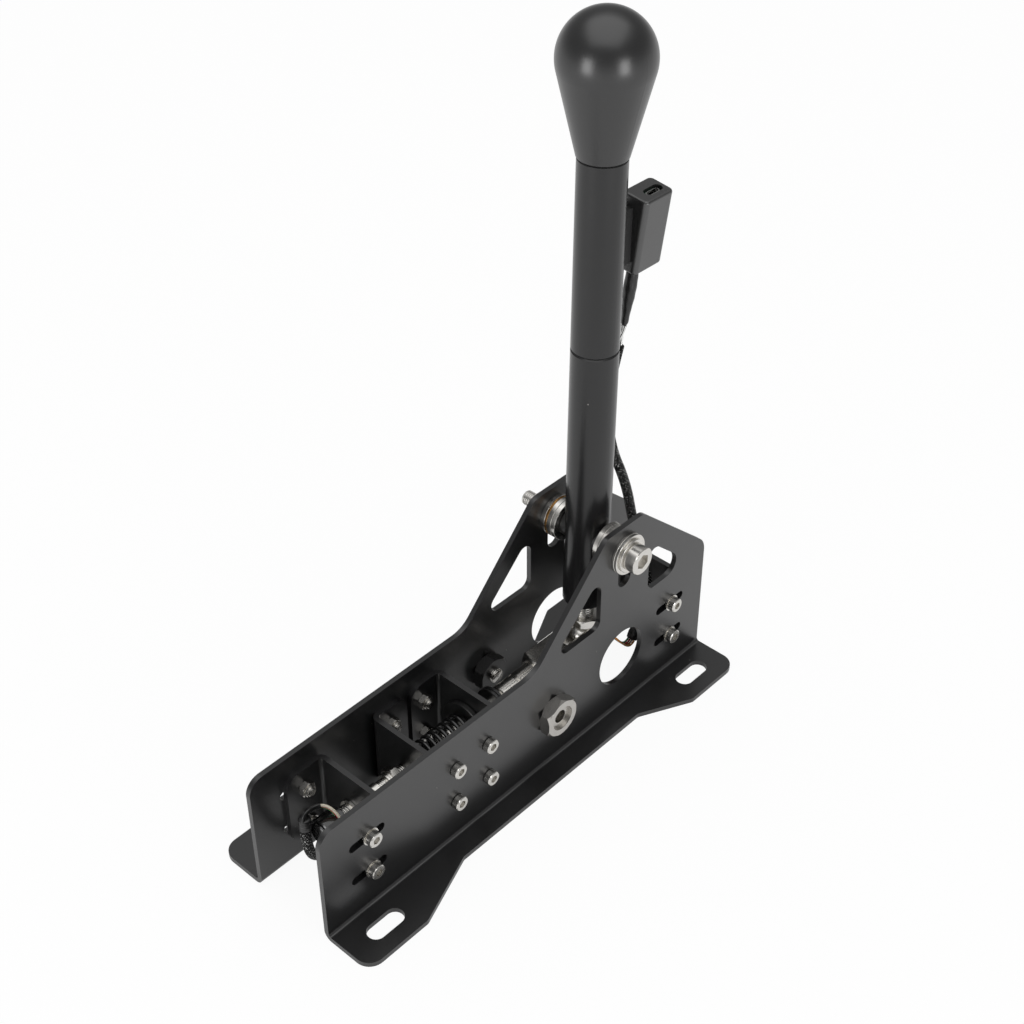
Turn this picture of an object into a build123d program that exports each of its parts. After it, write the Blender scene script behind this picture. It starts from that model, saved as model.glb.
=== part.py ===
from build123d import *
import math
import os

# Sim racing handbrake: a vertical lever between two bent side plates pushes a rod against a
# coil spring and a load cell. Millimetres, +Z up. X runs across the base, the front is -Y and
# the lever is pulled towards +Y. The origin is the centre of the four foot slots, on the floor.

# Side plates
PLATE_T = 3.0
INNER_GAP = 48.0
PLATE_L = 298.0
LOW_H = 75.0
TOP_H = 133.0
REAR_EDGE_H = 79.3
STEEP_FOOT = 153.5
TOP_AHEAD_OF_PIVOT = 15.8
TOP_BEHIND_PIVOT = 14.5
FRONT_CORNER_R = 9.0
STEEP_FOOT_R = 18.0
TOP_CORNER_R = 8.0
REAR_CORNER_R = 14.0
BEND_R = 2.0

# Feet of the side plates, as half widths and distances from the plate's ends
FOOT_HALF_W = 56.5
FOOT_WAIST_HALF_W = 41.0
FOOT_PAD_L = 41.0
FOOT_TAPER_FRONT = 42.0
FOOT_TAPER_REAR = 31.0
FOOT_CORNER_R = 9.0
FOOT_TAPER_R = 5.0
FOOT_SLOT_W = 10.4
FOOT_SLOT_L = 23.0
FOOT_SLOT_PITCH_X = 84.5
FOOT_SLOT_FROM_END = 24.75

# Windows of the side plates, behind the front edge
TRIANGLE_REAR = 206.0
TRIANGLE_LOW = 74.0
TRIANGLE_L = 39.7
TRIANGLE_ANGLE = 43.8
TRIANGLE_R = 5.2
REAR_WINDOW_FRONT = 246.5
REAR_WINDOW_L = 37.3
REAR_WINDOW_ANGLE = 43.2
REAR_WINDOW_R = 5.0
REAR_WINDOW_TIP_R = 8.0
ROUND_WINDOW_D = 36.4

# Slots and holes for the bracket screws
SCREW_SLOT_L = 24.0
SCREW_SLOT_MID = 30.0
HOLE_CLEARANCE = 0.25

# Brackets between the plates
BRACKET_T = 3.0
BRACKET_H = 48.0
BRACKET_BEND_R = 2.0
BRACKET_CORNER_R = 9.0
SCREW_PITCH_Z = 24.0
FRONT_WEB = 44.0
FRONT_FLANGE_L = 26.5
CELL_WEB_SCREW = 32.0
SEAT_WEB = 81.0
SEAT_FLANGE_L = 24.0
SEAT_SCREW = 93.0
GUIDE_WEB = 128.5
GUIDE_FLANGE_L = 23.5
GUIDE_SCREW = 117.0
REAR_WEB_FROM_REAR = 17.0
REAR_FLANGE_L = 26.5
REAR_SCREW_FROM_REAR = 29.0

# Bracket screws and nuts
SCREW_D = 5.0
SCREW_HEAD_D = 8.5
SCREW_HEAD_H = 4.0
SCREW_SOCKET_AF = 4.0
SCREW_TAIL = 1.2
NUT_AF = 8.0
NUT_H = 3.6
NUT_COLLAR_H = 1.3
WASHER_D = 10.0
WASHER_T = 1.0

# Pivot of the lever
PIVOT_FROM_FRONT = 225.3
PIVOT_Z = 115.2
PIVOT_SLOT_W = 10.5
PIVOT_SLOT_LOW = 91.5
SHOULDER_D = 10.0
PIVOT_THREAD_D = 8.0
PIVOT_HEAD_D = 16.0
PIVOT_HEAD_H = 7.0
PIVOT_SOCKET_AF = 8.0
PIVOT_WASHER_D = 24.0
PIVOT_WASHER_T = 1.75
PIVOT_HEAD_WASHER_D = 20.0
PIVOT_HEAD_WASHER_T = 1.5
PIVOT_NUT_AF = 13.0
PIVOT_NUT_H = 6.5
PIVOT_TAIL = 8.0
BUSH_D = 16.0
BUSH_STICK_OUT = 1.0
BRONZE_T = 1.5
RUNNING_FIT = 0.05
FACE_GAP = 0.1

# Lever
LEVER_TILT = 0.84
TUBE_D = 25.0
TUBE_WALL = 2.5
TUBE_BOTTOM_Z = 69.0
TUBE_JOINT_Z = 232.5
TUBE_TOP_Z = 337.5
TUBE_CHAMFER = 0.8
KNOB_D = 47.6
KNOB_H = 71.5
KNOB_NECK_D = 26.0
KNOB_EDGE = 0.6
PLUG_L = 24.0
SLEEVE_L = 60.0
KNOB_STUD_D = 10.0
KNOB_STUD_L = 34.0
PART_FIT = 0.05

# Eye stud and push rod
ROD_Z = 39.5
ROD_D = 10.0
EYE_D = 20.0
EYE_T = 10.0
PIN_D = 8.0
PIN_HEAD_D = 12.0
PIN_HEAD_H = 2.0
CLIP_D = 11.5
CLIP_T = 1.2
PIN_TAIL = 1.8
EYE_NUT_AF = 17.0
EYE_NUT_H = 5.0
EYE_NUT_ABOVE_PIN = 12.0
FORK_W = 18.0
FORK_SLOT_W = 10.4
FORK_SLOT_DEPTH = 20.0
FORK_L = 56.0
FORK_NECK_L = 13.0
FORK_NECK_D = 14.0
FORK_END_L = 9.5
LOCK_NUT_L = 12.0
LOCK_NUT_D = 14.0
LOCK_NUT_NECK_L = 2.0
LOCK_NUT_NECK_D = 11.6
FORK_FLARE = 1.2
FORK_EDGE = 1.2
ROD_TIP = 109.0
COLLAR_FRONT = 147.0
COLLAR_T = 1.9
COLLAR_D = 20.0
WEB_ROD_CLEARANCE = 1.4

# Spring between its two seats
SPRING_MEAN_D = 16.0
SPRING_WIRE_D = 2.2
SPRING_TURNS = 8
SPRING_END_BEND_R = 2.8
SEAT_D = 22.0
SEAT_T = 3.0
SEAT_FACE = 88.0
STOP_DISC_D = 30.0
STOP_DISC_T = 3.0
STOP_DISC_GAP = 0.1
PILOT_D = 12.4
PILOT_L = 3.0
SPRING_END_CLEARANCE = 0.35

# Load cell and plunger
CELL_D = 16.0
CELL_FRONT = 23.0
CELL_REAR = 36.5
CELL_CAP_D = 13.0
CELL_CAP_T = 1.6
CELL_STUD_D = 10.0
CELL_STUD_END = 52.5
CELL_BUTTON_D = 6.0
CELL_NUT_AF = 14.0
CELL_NUT_H = 4.5
CELL_WASHER_D = 14.0
CELL_WASHER_T = 1.5
PLUNGER_FRONT = 55.0
PLUNGER_HEAD_L = 8.0
PLUNGER_HEAD_D = 10.0
PLUNGER_D = 8.0
PLUNGER_RING_D = 12.0
PLUNGER_RING_T = 1.5
PLUNGER_RING_FRONT = 68.0
PLUNGER_NUT_AF = 13.0
PLUNGER_NUT_H = 5.0

# Guide screws beside the fork
GUIDE_FROM_FRONT = 168.3
GUIDE_Z = 37.1
GUIDE_D = 14.0
GUIDE_HEX_AF = 22.0
GUIDE_HEX_H = 7.0
GUIDE_RECESS_D = 15.0
GUIDE_RECESS_DEPTH = 2.0
GUIDE_BORE_D = 8.0
GUIDE_NUT_AF = 19.0
GUIDE_NUT_H = 7.0
GUIDE_TIP_X = 14.0
GUIDE_SCREW_SUNK = 2.0

# Control box behind the lever
BOX_W = 15.8
BOX_DEPTH = 21.7
BOX_H = 42.3
BOX_WALL = 1.6
BOX_CORNER_R = 3.0
BOX_EDGE_R = 1.4
BOX_LOW_Z = 267.3
BOX_SIDE_SHIFT = 0.9
BOX_SIDE_LEAN = 7.0
BOX_FROM_AXIS = 21.0
BOX_LID_T = 2.0
PAD_W = 8.0
PAD_H = 30.0
PAD_SIDE_SHIFT = -1.0
BOARD_T = 1.6
PORT_W = 8.9
PORT_T = 3.3
PORT_L = 7.3
PORT_WALL = 0.4
PORT_SUNK = 1.2
PORT_SIDE = 1.2
PORT_REAR = 1.8
PORT_RECESS_W = 12.2
PORT_RECESS_T = 5.2

# Cords, as places from the plates' front edge: X, distance behind the edge, Z
LEAD_D = 5.6
LEAD = [
    (0, 247.6, 223.5), (-0.2, 245.4, 209), (-0.9, 244.0, 191), (-0.6, 244.8, 172.5), (0, 248.6, 153.5),
    (0, 254.4, 138), (0, 259.4, 121.5), (1, 262.6, 104), (3.6, 265.8, 87), (6.6, 268.8, 70),
    (8.6, 271, 53), (9, 271.5, 38.2), (9, 263.5, 27.5),
]
LEAD_FREE_TOP_Z = 150.0
LEAD_FREE_LOW_Z = 106.0
LEAD_SLEEVE_D = 3.6
LEAD_SLEEVE_L = 12.0
LEAD_BOOT_LOW_D = 4.4
LEAD_BOOT_TOP_D = 6.4
LEAD_BOOT_SPARE_L = 3.0
LEAD_END_D = 7.0
LEAD_END_L = 10.0
SENSOR_CABLE_D = 5.6
SENSOR_CABLE = [
    (-6, 18, 42.5), (-6.3, 18, 28), (-9.2, 25, 12.5), (-11.5, 42, 4.6), (-12.5, 66, 3.6), (-11, 96, 4.2),
    (-12, 130, 3.5), (-11, 164, 4.1), (-13, 196, 3.6), (-12, 224, 4.6),
]
SENSOR_BOOT_D = 6.8
SENSOR_BOOT_L = 8.0
WIRE_D = 1.2
WIRE_SPACING = 1.4
WIRE_COUNT = 4
CELL_WIRES = [
    (1.4, CELL_REAR, 46), (1.4, 38.6, 46), (1.5, 39.9, 47), (1.5, 39.9, 48.7), (1, 38.6, 50.1),
    (-0.5, 35.4, 51.1), (-2.5, 31, 51.9), (-4.2, 26.4, 53), (-5.4, 22.6, 54.1), (-5.83, 19.8, 54.2),
    (-5.83, 18, 52.9), (-5.83, 18, 50.8),
]
SPLICE_WIRES = [
    (9, 257.5, 19.5), (9, 255.9, 17.4), (9, 253.1, 16.5), (9, 250.2, 17.4), (9, 248.1, 19.8),
    (8.8, 244.6, 25.4), (7.4, 241.6, 30.6), (3.4, 239.6, 34.2), (-1.6, 238.8, 34.4), (-5.8, 239.2, 31),
    (-8.6, 240.4, 25.4), (-10.4, 241.8, 18), (-11.4, 242.4, 11.4), (-11.6, 240.4, 7), (-11.7, 236.8, 5.3),
    (-11.71, 232.3, 4.89),
]

PLATE_HALF_L = PLATE_L / 2
INNER_X = INNER_GAP / 2
OUTER_X = INNER_X + PLATE_T
SCREW_HEIGHTS = (ROD_Z - SCREW_PITCH_Z / 2, ROD_Z + SCREW_PITCH_Z / 2)


def along(from_front):
    """Y of a point this far behind the plates' front edge."""
    return from_front - PLATE_HALF_L


PIVOT_Y = along(PIVOT_FROM_FRONT)
PIN_Y = PIVOT_Y - (PIVOT_Z - ROD_Z) * math.tan(math.radians(LEVER_TILT))
LEVER_PLACE = Pos(0, PIVOT_Y, PIVOT_Z) * Rot(-LEVER_TILT, 0, 0)


def facing(x, y, z, direction):
    """A place whose own Z points along the direction; its own X points up, or across if level."""
    upright = abs(direction[2]) < 0.5
    return Plane(origin=(x, y, z), x_dir=(0, 0, 1) if upright else (1, 0, 0), z_dir=direction).location


def rounded_face(points, radii):
    """A flat face through the points, with one corner radius for each point."""
    return make_face(FilletPolyline(*points, radius=radii, close=True))


def disc(diameter, thickness, bore=0.0, chamfer_size=0.0):
    """A washer or turned disc on its own Z axis, from zero upwards."""
    solid = Cylinder(diameter / 2, thickness, align=(Align.CENTER, Align.CENTER, Align.MIN))
    if chamfer_size > 0:
        solid = chamfer(solid.edges(), chamfer_size)
    if bore > 0:
        solid -= Cylinder(bore / 2, 3 * thickness)
    return solid


def hexagon(across_flats, height):
    """A hexagonal prism on its own Z axis, from zero upwards."""
    return extrude(RegularPolygon(across_flats / 2, 6, major_radius=False), height)


def hex_blank(across_flats, height):
    """A hexagon with its corners turned off at both faces."""
    corner_d = across_flats / math.cos(math.pi / 6)
    return hexagon(across_flats, height) & disc(corner_d, height, 0, (corner_d - across_flats) * 0.45)


def hex_nut(across_flats, height, bore):
    """A plain nut on its own Z axis, from zero upwards."""
    return hex_blank(across_flats, height) - Cylinder(bore / 2, 3 * height)


def lock_nut(across_flats, height, collar_h, bore):
    """A nut with a round locking collar on its free face."""
    collar = Pos(0, 0, height) * disc(across_flats * 0.86, collar_h, bore, 0.35)
    return hex_nut(across_flats, height, bore) + collar


def cap_screw(shank_d, shank_l, head_d, head_h, socket_af):
    """A socket screw: the head stands below zero and the shank runs up its own Z."""
    head = Pos(0, 0, -head_h) * disc(head_d, head_h, 0, 0.4)
    shank = chamfer(disc(shank_d, shank_l).edges().group_by(Axis.Z)[-1], shank_d * 0.1)
    socket = Pos(0, 0, -head_h) * hexagon(socket_af, head_h * 0.55)
    return head + shank - socket


def slot_cutter(length, width, depth):
    """A slot's form: its length lies along its own X, and it is cut both ways along Z."""
    return extrude(SlotOverall(length, width), depth / 2, both=True)


def plate_outline():
    """The wall of a side plate seen from the side, as Y and Z."""
    points = [
        (-PLATE_HALF_L, 0),
        (-PLATE_HALF_L, LOW_H),
        (along(STEEP_FOOT), LOW_H),
        (PIVOT_Y - TOP_AHEAD_OF_PIVOT, TOP_H),
        (PIVOT_Y + TOP_BEHIND_PIVOT, TOP_H),
        (PLATE_HALF_L, REAR_EDGE_H),
        (PLATE_HALF_L, 0),
    ]
    radii = [0, FRONT_CORNER_R, STEEP_FOOT_R, TOP_CORNER_R, TOP_CORNER_R, REAR_CORNER_R, 0]
    return rounded_face(points, radii)


def foot_outline():
    """The foot of the right side plate seen from above, as X and Y."""
    front, rear = -PLATE_HALF_L, PLATE_HALF_L
    points = [
        (INNER_X, front),
        (FOOT_HALF_W, front),
        (FOOT_HALF_W, front + FOOT_PAD_L),
        (FOOT_WAIST_HALF_W, front + FOOT_PAD_L + FOOT_TAPER_FRONT),
        (FOOT_WAIST_HALF_W, rear - FOOT_PAD_L - FOOT_TAPER_REAR),
        (FOOT_HALF_W, rear - FOOT_PAD_L),
        (FOOT_HALF_W, rear),
        (INNER_X, rear),
    ]
    taper = [FOOT_TAPER_R] * 4
    return rounded_face(points, [0, FOOT_CORNER_R, *taper, FOOT_CORNER_R, 0])


def plate_windows():
    """The faces cut through the wall of a side plate, as Y and Z."""
    tall = TRIANGLE_L * math.tan(math.radians(TRIANGLE_ANGLE))
    triangle = rounded_face(
        [
            (along(TRIANGLE_REAR - TRIANGLE_L), TRIANGLE_LOW),
            (along(TRIANGLE_REAR), TRIANGLE_LOW),
            (along(TRIANGLE_REAR), TRIANGLE_LOW + tall),
        ],
        [TRIANGLE_R] * 3,
    )
    high = REAR_WINDOW_L * math.tan(math.radians(REAR_WINDOW_ANGLE))
    rear_window = rounded_face(
        [
            (along(REAR_WINDOW_FRONT), TRIANGLE_LOW),
            (along(REAR_WINDOW_FRONT + REAR_WINDOW_L), TRIANGLE_LOW),
            (along(REAR_WINDOW_FRONT), TRIANGLE_LOW + high),
        ],
        [REAR_WINDOW_R, REAR_WINDOW_TIP_R, REAR_WINDOW_R],
    )
    round_window = Pos(PIVOT_Y, ROD_Z) * Circle(ROUND_WINDOW_D / 2)
    slot_top = PIVOT_Z + PIVOT_SLOT_W / 2
    slot_l = slot_top - PIVOT_SLOT_LOW
    pivot_slot = Pos(PIVOT_Y, slot_top - slot_l / 2) * Rot(0, 0, 90) * SlotOverall(slot_l, PIVOT_SLOT_W)
    guide_hole = Pos(along(GUIDE_FROM_FRONT), GUIDE_Z) * Circle(GUIDE_D / 2 + HOLE_CLEARANCE)
    return [triangle, rear_window, round_window, pivot_slot, guide_hole]


def plate_screw_cuts():
    """The slots and round holes for the bracket screws, as Y and Z."""
    hole_d = SCREW_D + 2 * HOLE_CLEARANCE
    cuts = []
    for height in SCREW_HEIGHTS:
        for end in (-1, 1):
            cuts.append(Pos(end * along(SCREW_SLOT_MID), height) * SlotOverall(SCREW_SLOT_L, hole_d))
        for from_front in (SEAT_SCREW, GUIDE_SCREW):
            cuts.append(Pos(along(from_front), height) * Circle(hole_d / 2))
    return cuts


def side_plate(side):
    """A side plate: a wall with windows and an outward foot, bent from one sheet."""
    section = rounded_face(
        [
            (INNER_X, 0),
            (FOOT_HALF_W, 0),
            (FOOT_HALF_W, PLATE_T),
            (OUTER_X, PLATE_T),
            (OUTER_X, TOP_H),
            (INNER_X, TOP_H),
        ],
        [BEND_R + PLATE_T, 0, 0, BEND_R, 0, 0],
    )
    sheet = extrude(Plane.XZ * section, PLATE_HALF_L, both=True)
    wall = extrude(Plane.YZ * plate_outline(), FOOT_HALF_W)
    foot = extrude(foot_outline(), TOP_H)
    plate = sheet & wall & foot
    through = Pos(INNER_X - PLATE_T, 0, 0)
    for cut in plate_windows() + plate_screw_cuts():
        plate -= through * extrude(Plane.YZ * cut, 3 * PLATE_T)
    for end in (-1, 1):
        place = Pos(FOOT_SLOT_PITCH_X / 2, end * (PLATE_HALF_L - FOOT_SLOT_FROM_END), 0) * Rot(0, 0, 90)
        plate -= place * slot_cutter(FOOT_SLOT_L, FOOT_SLOT_W, 4 * PLATE_T)
    return plate if side > 0 else mirror(plate, about=Plane.YZ)


def bracket(web_front, flange_l, opens, screw_y, bore_d):
    """A sheet channel between the plates: a web across and two flanges towards opens (-1 or 1)."""
    web_y = web_front if opens < 0 else web_front + BRACKET_T
    back = web_y + (BRACKET_T if opens < 0 else -BRACKET_T)
    tip = back + opens * flange_l
    low_z = ROD_Z - BRACKET_H / 2
    outside = rounded_face(
        [(-INNER_X, tip), (-INNER_X, back), (INNER_X, back), (INNER_X, tip)],
        [0, BRACKET_BEND_R + BRACKET_T, BRACKET_BEND_R + BRACKET_T, 0],
    )
    clear_x = INNER_X - BRACKET_T
    inside = rounded_face(
        [(-clear_x, tip + opens), (-clear_x, web_y), (clear_x, web_y), (clear_x, tip + opens)],
        [0, BRACKET_BEND_R, BRACKET_BEND_R, 0],
    )
    channel = Pos(0, 0, low_z) * extrude(outside - inside, BRACKET_H)
    side_view = rounded_face(
        [(tip, low_z), (tip, low_z + BRACKET_H), (back, low_z + BRACKET_H), (back, low_z)],
        [BRACKET_CORNER_R, BRACKET_CORNER_R, 0, 0],
    )
    channel &= extrude(Plane.YZ * side_view, INNER_X, both=True)
    hole_r = SCREW_D / 2 + HOLE_CLEARANCE
    for height in SCREW_HEIGHTS:
        channel -= facing(0, screw_y, height, (1, 0, 0)) * Cylinder(hole_r, 2 * INNER_GAP)
    if bore_d > 0:
        channel -= facing(0, back, ROD_Z, (0, 1, 0)) * Cylinder(bore_d / 2, 4 * BRACKET_T)
    return channel


def bracket_front():
    bore = CELL_STUD_D + 2 * HOLE_CLEARANCE
    return bracket(along(FRONT_WEB), FRONT_FLANGE_L, -1, along(CELL_WEB_SCREW), bore)


def bracket_seat():
    bore = PLUNGER_D + 4 * HOLE_CLEARANCE
    return bracket(along(SEAT_WEB), SEAT_FLANGE_L, 1, along(SEAT_SCREW), bore)


def bracket_guide():
    bore = ROD_D + 2 * WEB_ROD_CLEARANCE
    return bracket(along(GUIDE_WEB), GUIDE_FLANGE_L, -1, along(GUIDE_SCREW), bore)


def bracket_rear():
    web = PLATE_HALF_L - REAR_WEB_FROM_REAR
    return bracket(web, REAR_FLANGE_L, -1, PLATE_HALF_L - REAR_SCREW_FROM_REAR, 0)


def screw_places():
    """Side, Y, height and washer thickness of each bracket screw."""
    slotted = (along(CELL_WEB_SCREW), PLATE_HALF_L - REAR_SCREW_FROM_REAR)
    plain = (along(SEAT_SCREW), along(GUIDE_SCREW))
    rows = [(y, WASHER_T) for y in slotted] + [(y, 0.0) for y in plain]
    return [(side, y, height, under) for side in (-1, 1) for y, under in rows for height in SCREW_HEIGHTS]


def bracket_screws():
    """The sixteen screws that hold the brackets between the plates."""
    solids = []
    for side, y, height, under in screw_places():
        grip = under + PLATE_T + BRACKET_T + NUT_H + NUT_COLLAR_H + SCREW_TAIL
        place = facing(side * (OUTER_X + under), y, height, (-side, 0, 0))
        solids.append(place * cap_screw(SCREW_D, grip, SCREW_HEAD_D, SCREW_HEAD_H, SCREW_SOCKET_AF))
    return Compound(children=solids)


def bracket_nuts():
    """The locking nut on each bracket screw, inside the bracket's flange."""
    solids = []
    for side, y, height, _ in screw_places():
        place = facing(side * (INNER_X - BRACKET_T), y, height, (-side, 0, 0))
        solids.append(place * lock_nut(NUT_AF, NUT_H, NUT_COLLAR_H, SCREW_D))
    return Compound(children=solids)


def slot_washers():
    """The washer under each screw that stands in a slot."""
    solids = []
    for side, y, height, under in screw_places():
        if under > 0:
            place = facing(side * OUTER_X, y, height, (side, 0, 0))
            solids.append(place * disc(WASHER_D, under, SCREW_D + HOLE_CLEARANCE))
    return Compound(children=solids)


def cord_path(points):
    """Straight runs joined by tangent arcs, each as large as its two runs allow."""
    places = [Vector(x, along(y), z) for x, y, z in points]
    radii = []
    for before, here, after in zip(places, places[1:], places[2:]):
        turn = math.radians((here - before).get_angle(after - here))
        shorter = min((here - before).length, (after - here).length)
        radii.append(0.45 * shorter / math.tan(turn / 2))
    return FilletPolyline(*places, radius=radii), radii


def cord(name, points, diameter):
    """A round cord along its route, with its radii and its volume printed beside section x length."""
    path, radii = cord_path(points)
    start = Plane(origin=path @ 0, z_dir=path % 0)
    solid = sweep(start * Circle(diameter / 2), path=path)
    expected = math.pi * diameter**2 / 4 * path.length
    rounded = ", ".join(f"{radius:.0f}" for radius in radii)
    print(f"{name}: radii {rounded}; volume {solid.volume:.0f} for {expected:.0f}")
    return solid


def beside(points, sideways):
    """The route moved sideways along X at its start, with the shift turned along at each bend."""
    places = [Vector(*point) for point in points]
    runs = [(after - here).normalized() for here, after in zip(places, places[1:])]
    shift = Vector(sideways, 0, 0)
    moved = [places[0] + shift]
    for here, run, next_run in zip(places[1:], runs, runs[1:]):
        middle = (run + next_run).normalized()
        moved.append(here + shift - run * (shift.dot(middle) / run.dot(middle)))
        shift -= middle * (2 * shift.dot(middle))
    moved.append(places[-1] + shift)
    return [tuple(place) for place in moved]


def wire_row(name, points):
    """Thin wires side by side along one route."""
    wires = []
    for index in range(WIRE_COUNT):
        sideways = (index - (WIRE_COUNT - 1) / 2) * WIRE_SPACING
        wires.append(cord(f"{name} {index + 1}", beside(points, sideways), WIRE_D))
    return Compound(children=wires)


def beyond(end, neighbour, skip, length, near_d, far_d):
    """A straight round piece on the line of a cord's end run, outside the cord by skip."""
    here, inside = (Vector(x, along(y), z) for x, y, z in (end, neighbour))
    way = (here - inside).normalized()
    place = Plane(origin=here + way * skip, z_dir=way).location
    centred = (Align.CENTER, Align.CENTER, Align.MIN)
    if near_d == far_d:
        return place * Cylinder(near_d / 2, length, align=centred)
    return place * Cone(near_d / 2, far_d / 2, length, align=centred)


def lead_between(name, low_z, high_z):
    """The part of the control box's lead between two levels."""
    whole = cord(name, LEAD, LEAD_D)
    middle = (low_z + high_z) / 2
    return whole & Pos(0, 0, middle) * Box(PLATE_L, PLATE_L, high_z - low_z)


def lead_boot():
    """The tapered boot where the lead leaves the floor of the control box."""
    length = BOX_LOW_Z - LEAD[0][2] - LEAD_SLEEVE_L + LEAD_BOOT_SPARE_L
    boot = beyond(LEAD[0], LEAD[1], LEAD_SLEEVE_L, length, LEAD_BOOT_LOW_D, LEAD_BOOT_TOP_D)
    return boot - box_piece(BOX_LOW_Z, extrude(Rectangle(BOX_W, BOX_DEPTH), BOX_H))


def sensor_boots():
    """The shrink sleeve at each end of the sensor's cable."""
    front = beyond(SENSOR_CABLE[0], SENSOR_CABLE[1], 0, SENSOR_BOOT_L, SENSOR_BOOT_D, SENSOR_BOOT_D)
    rear = beyond(SENSOR_CABLE[-1], SENSOR_CABLE[-2], 0, SENSOR_BOOT_L, SENSOR_BOOT_D, SENSOR_BOOT_D)
    return Compound(children=[front, rear])


def pivot_screw():
    """The shoulder screw that carries the lever, with its thread beyond the left plate."""
    head_x = OUTER_X + 2 * PIVOT_WASHER_T + PIVOT_HEAD_WASHER_T
    shoulder_l = head_x + OUTER_X + PIVOT_WASHER_T
    place = facing(head_x, PIVOT_Y, PIVOT_Z, (-1, 0, 0))
    shoulder = cap_screw(SHOULDER_D, shoulder_l, PIVOT_HEAD_D, PIVOT_HEAD_H, PIVOT_SOCKET_AF)
    thread_l = PIVOT_WASHER_T + PIVOT_NUT_H + PIVOT_TAIL
    thread = chamfer(disc(PIVOT_THREAD_D, thread_l).edges().group_by(Axis.Z)[-1], 0.8)
    return place * (shoulder + Pos(0, 0, shoulder_l) * thread)


def pivot_outer_washers():
    """The washers outside the plates, three under the head and two under the nut."""
    bore = SHOULDER_D + 2 * FACE_GAP
    stack = [(1, 0, PIVOT_WASHER_D, PIVOT_WASHER_T, bore), (1, PIVOT_WASHER_T, PIVOT_WASHER_D, PIVOT_WASHER_T, bore)]
    stack.append((1, 2 * PIVOT_WASHER_T, PIVOT_HEAD_WASHER_D, PIVOT_HEAD_WASHER_T, bore))
    stack.append((-1, 0, PIVOT_WASHER_D, PIVOT_WASHER_T, bore))
    stack.append((-1, PIVOT_WASHER_T, PIVOT_WASHER_D, PIVOT_WASHER_T, PIVOT_THREAD_D + 2 * FACE_GAP))
    solids = []
    for side, out, diameter, thickness, hole in stack:
        place = facing(side * (OUTER_X + out), PIVOT_Y, PIVOT_Z, (side, 0, 0))
        solids.append(place * disc(diameter, thickness, hole, 0.2))
    return Compound(children=solids)


def pivot_nut():
    """The nut that closes the pivot screw at the left plate."""
    place = facing(-OUTER_X - 2 * PIVOT_WASHER_T, PIVOT_Y, PIVOT_Z, (-1, 0, 0))
    return place * hex_nut(PIVOT_NUT_AF, PIVOT_NUT_H, PIVOT_THREAD_D)


def inner_washer_stack():
    """Start, thickness and metal of each washer between the pivot bush and a plate."""
    start = TUBE_D / 2 + BUSH_STICK_OUT + FACE_GAP
    steel_t = (INNER_X - start - BRONZE_T) / 3
    stack = []
    for thickness, metal in ((steel_t, "steel"),) * 2 + ((BRONZE_T, "bronze"), (steel_t, "steel")):
        stack.append((start, thickness, metal))
        start += thickness
    return stack


def pivot_inner_washers(metal):
    """The washers of one metal that hold the lever midway between the plates."""
    solids = []
    for side in (-1, 1):
        for start, thickness, kind in inner_washer_stack():
            if kind == metal:
                place = facing(side * start, PIVOT_Y, PIVOT_Z, (side, 0, 0))
                solids.append(place * disc(PIVOT_WASHER_D, thickness, SHOULDER_D + 2 * FACE_GAP, 0.2))
    return Compound(children=solids)


def guide_bushings():
    """The hexagonal bushing outside each plate, with its neck through the plate."""
    solids = []
    for side in (-1, 1):
        place = facing(side * OUTER_X, along(GUIDE_FROM_FRONT), GUIDE_Z, (side, 0, 0))
        neck = Pos(0, 0, -PLATE_T) * disc(GUIDE_D, PLATE_T, 0)
        recess = Pos(0, 0, GUIDE_HEX_H - GUIDE_RECESS_DEPTH) * disc(GUIDE_RECESS_D, GUIDE_HEX_H)
        bore = Pos(0, 0, GUIDE_HEX_H) * Cylinder(GUIDE_BORE_D / 2, 6 * GUIDE_HEX_H)
        solids.append(place * (hex_blank(GUIDE_HEX_AF, GUIDE_HEX_H) + neck - recess - bore))
    return Compound(children=solids)


def guide_locknuts():
    """The black nut on each set screw that draws the bushing against the plate."""
    solids = []
    for side in (-1, 1):
        place = facing(side * INNER_X, along(GUIDE_FROM_FRONT), GUIDE_Z, (-side, 0, 0))
        solids.append(place * hex_nut(GUIDE_NUT_AF, GUIDE_NUT_H, GUIDE_BORE_D))
    return Compound(children=solids)


def guide_screws():
    """The set screw in each bushing, whose round tip stands beside the rod."""
    solids = []
    for side in (-1, 1):
        length = OUTER_X - GUIDE_SCREW_SUNK - GUIDE_TIP_X
        body = Pos(0, 0, GUIDE_BORE_D / 4) * disc(GUIDE_BORE_D, length - GUIDE_BORE_D / 4)
        dome = Pos(0, 0, GUIDE_BORE_D / 2) * Sphere(GUIDE_BORE_D / 2)
        socket = Pos(0, 0, length - 4) * hexagon(GUIDE_BORE_D / 2, 5)
        place = facing(side * GUIDE_TIP_X, along(GUIDE_FROM_FRONT), GUIDE_Z, (side, 0, 0))
        tip = (dome & disc(GUIDE_BORE_D, GUIDE_BORE_D / 2)) + body
        solids.append(place * (tip - socket))
    return Compound(children=solids)


def on_rod_line(start, solid):
    """Puts a piece built on its own Z axis on the rod line, running rearward from start."""
    return facing(0, along(start), ROD_Z, (0, 1, 0)) * solid


def load_cell_body():
    """The round body of the load cell."""
    return on_rod_line(CELL_FRONT, disc(CELL_D, CELL_REAR - CELL_FRONT, 0, 0.6))


def load_cell_cap():
    """The bright cap that closes the front of the load cell."""
    return on_rod_line(CELL_FRONT - CELL_CAP_T, disc(CELL_CAP_D, CELL_CAP_T, 0, 0.4))


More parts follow.
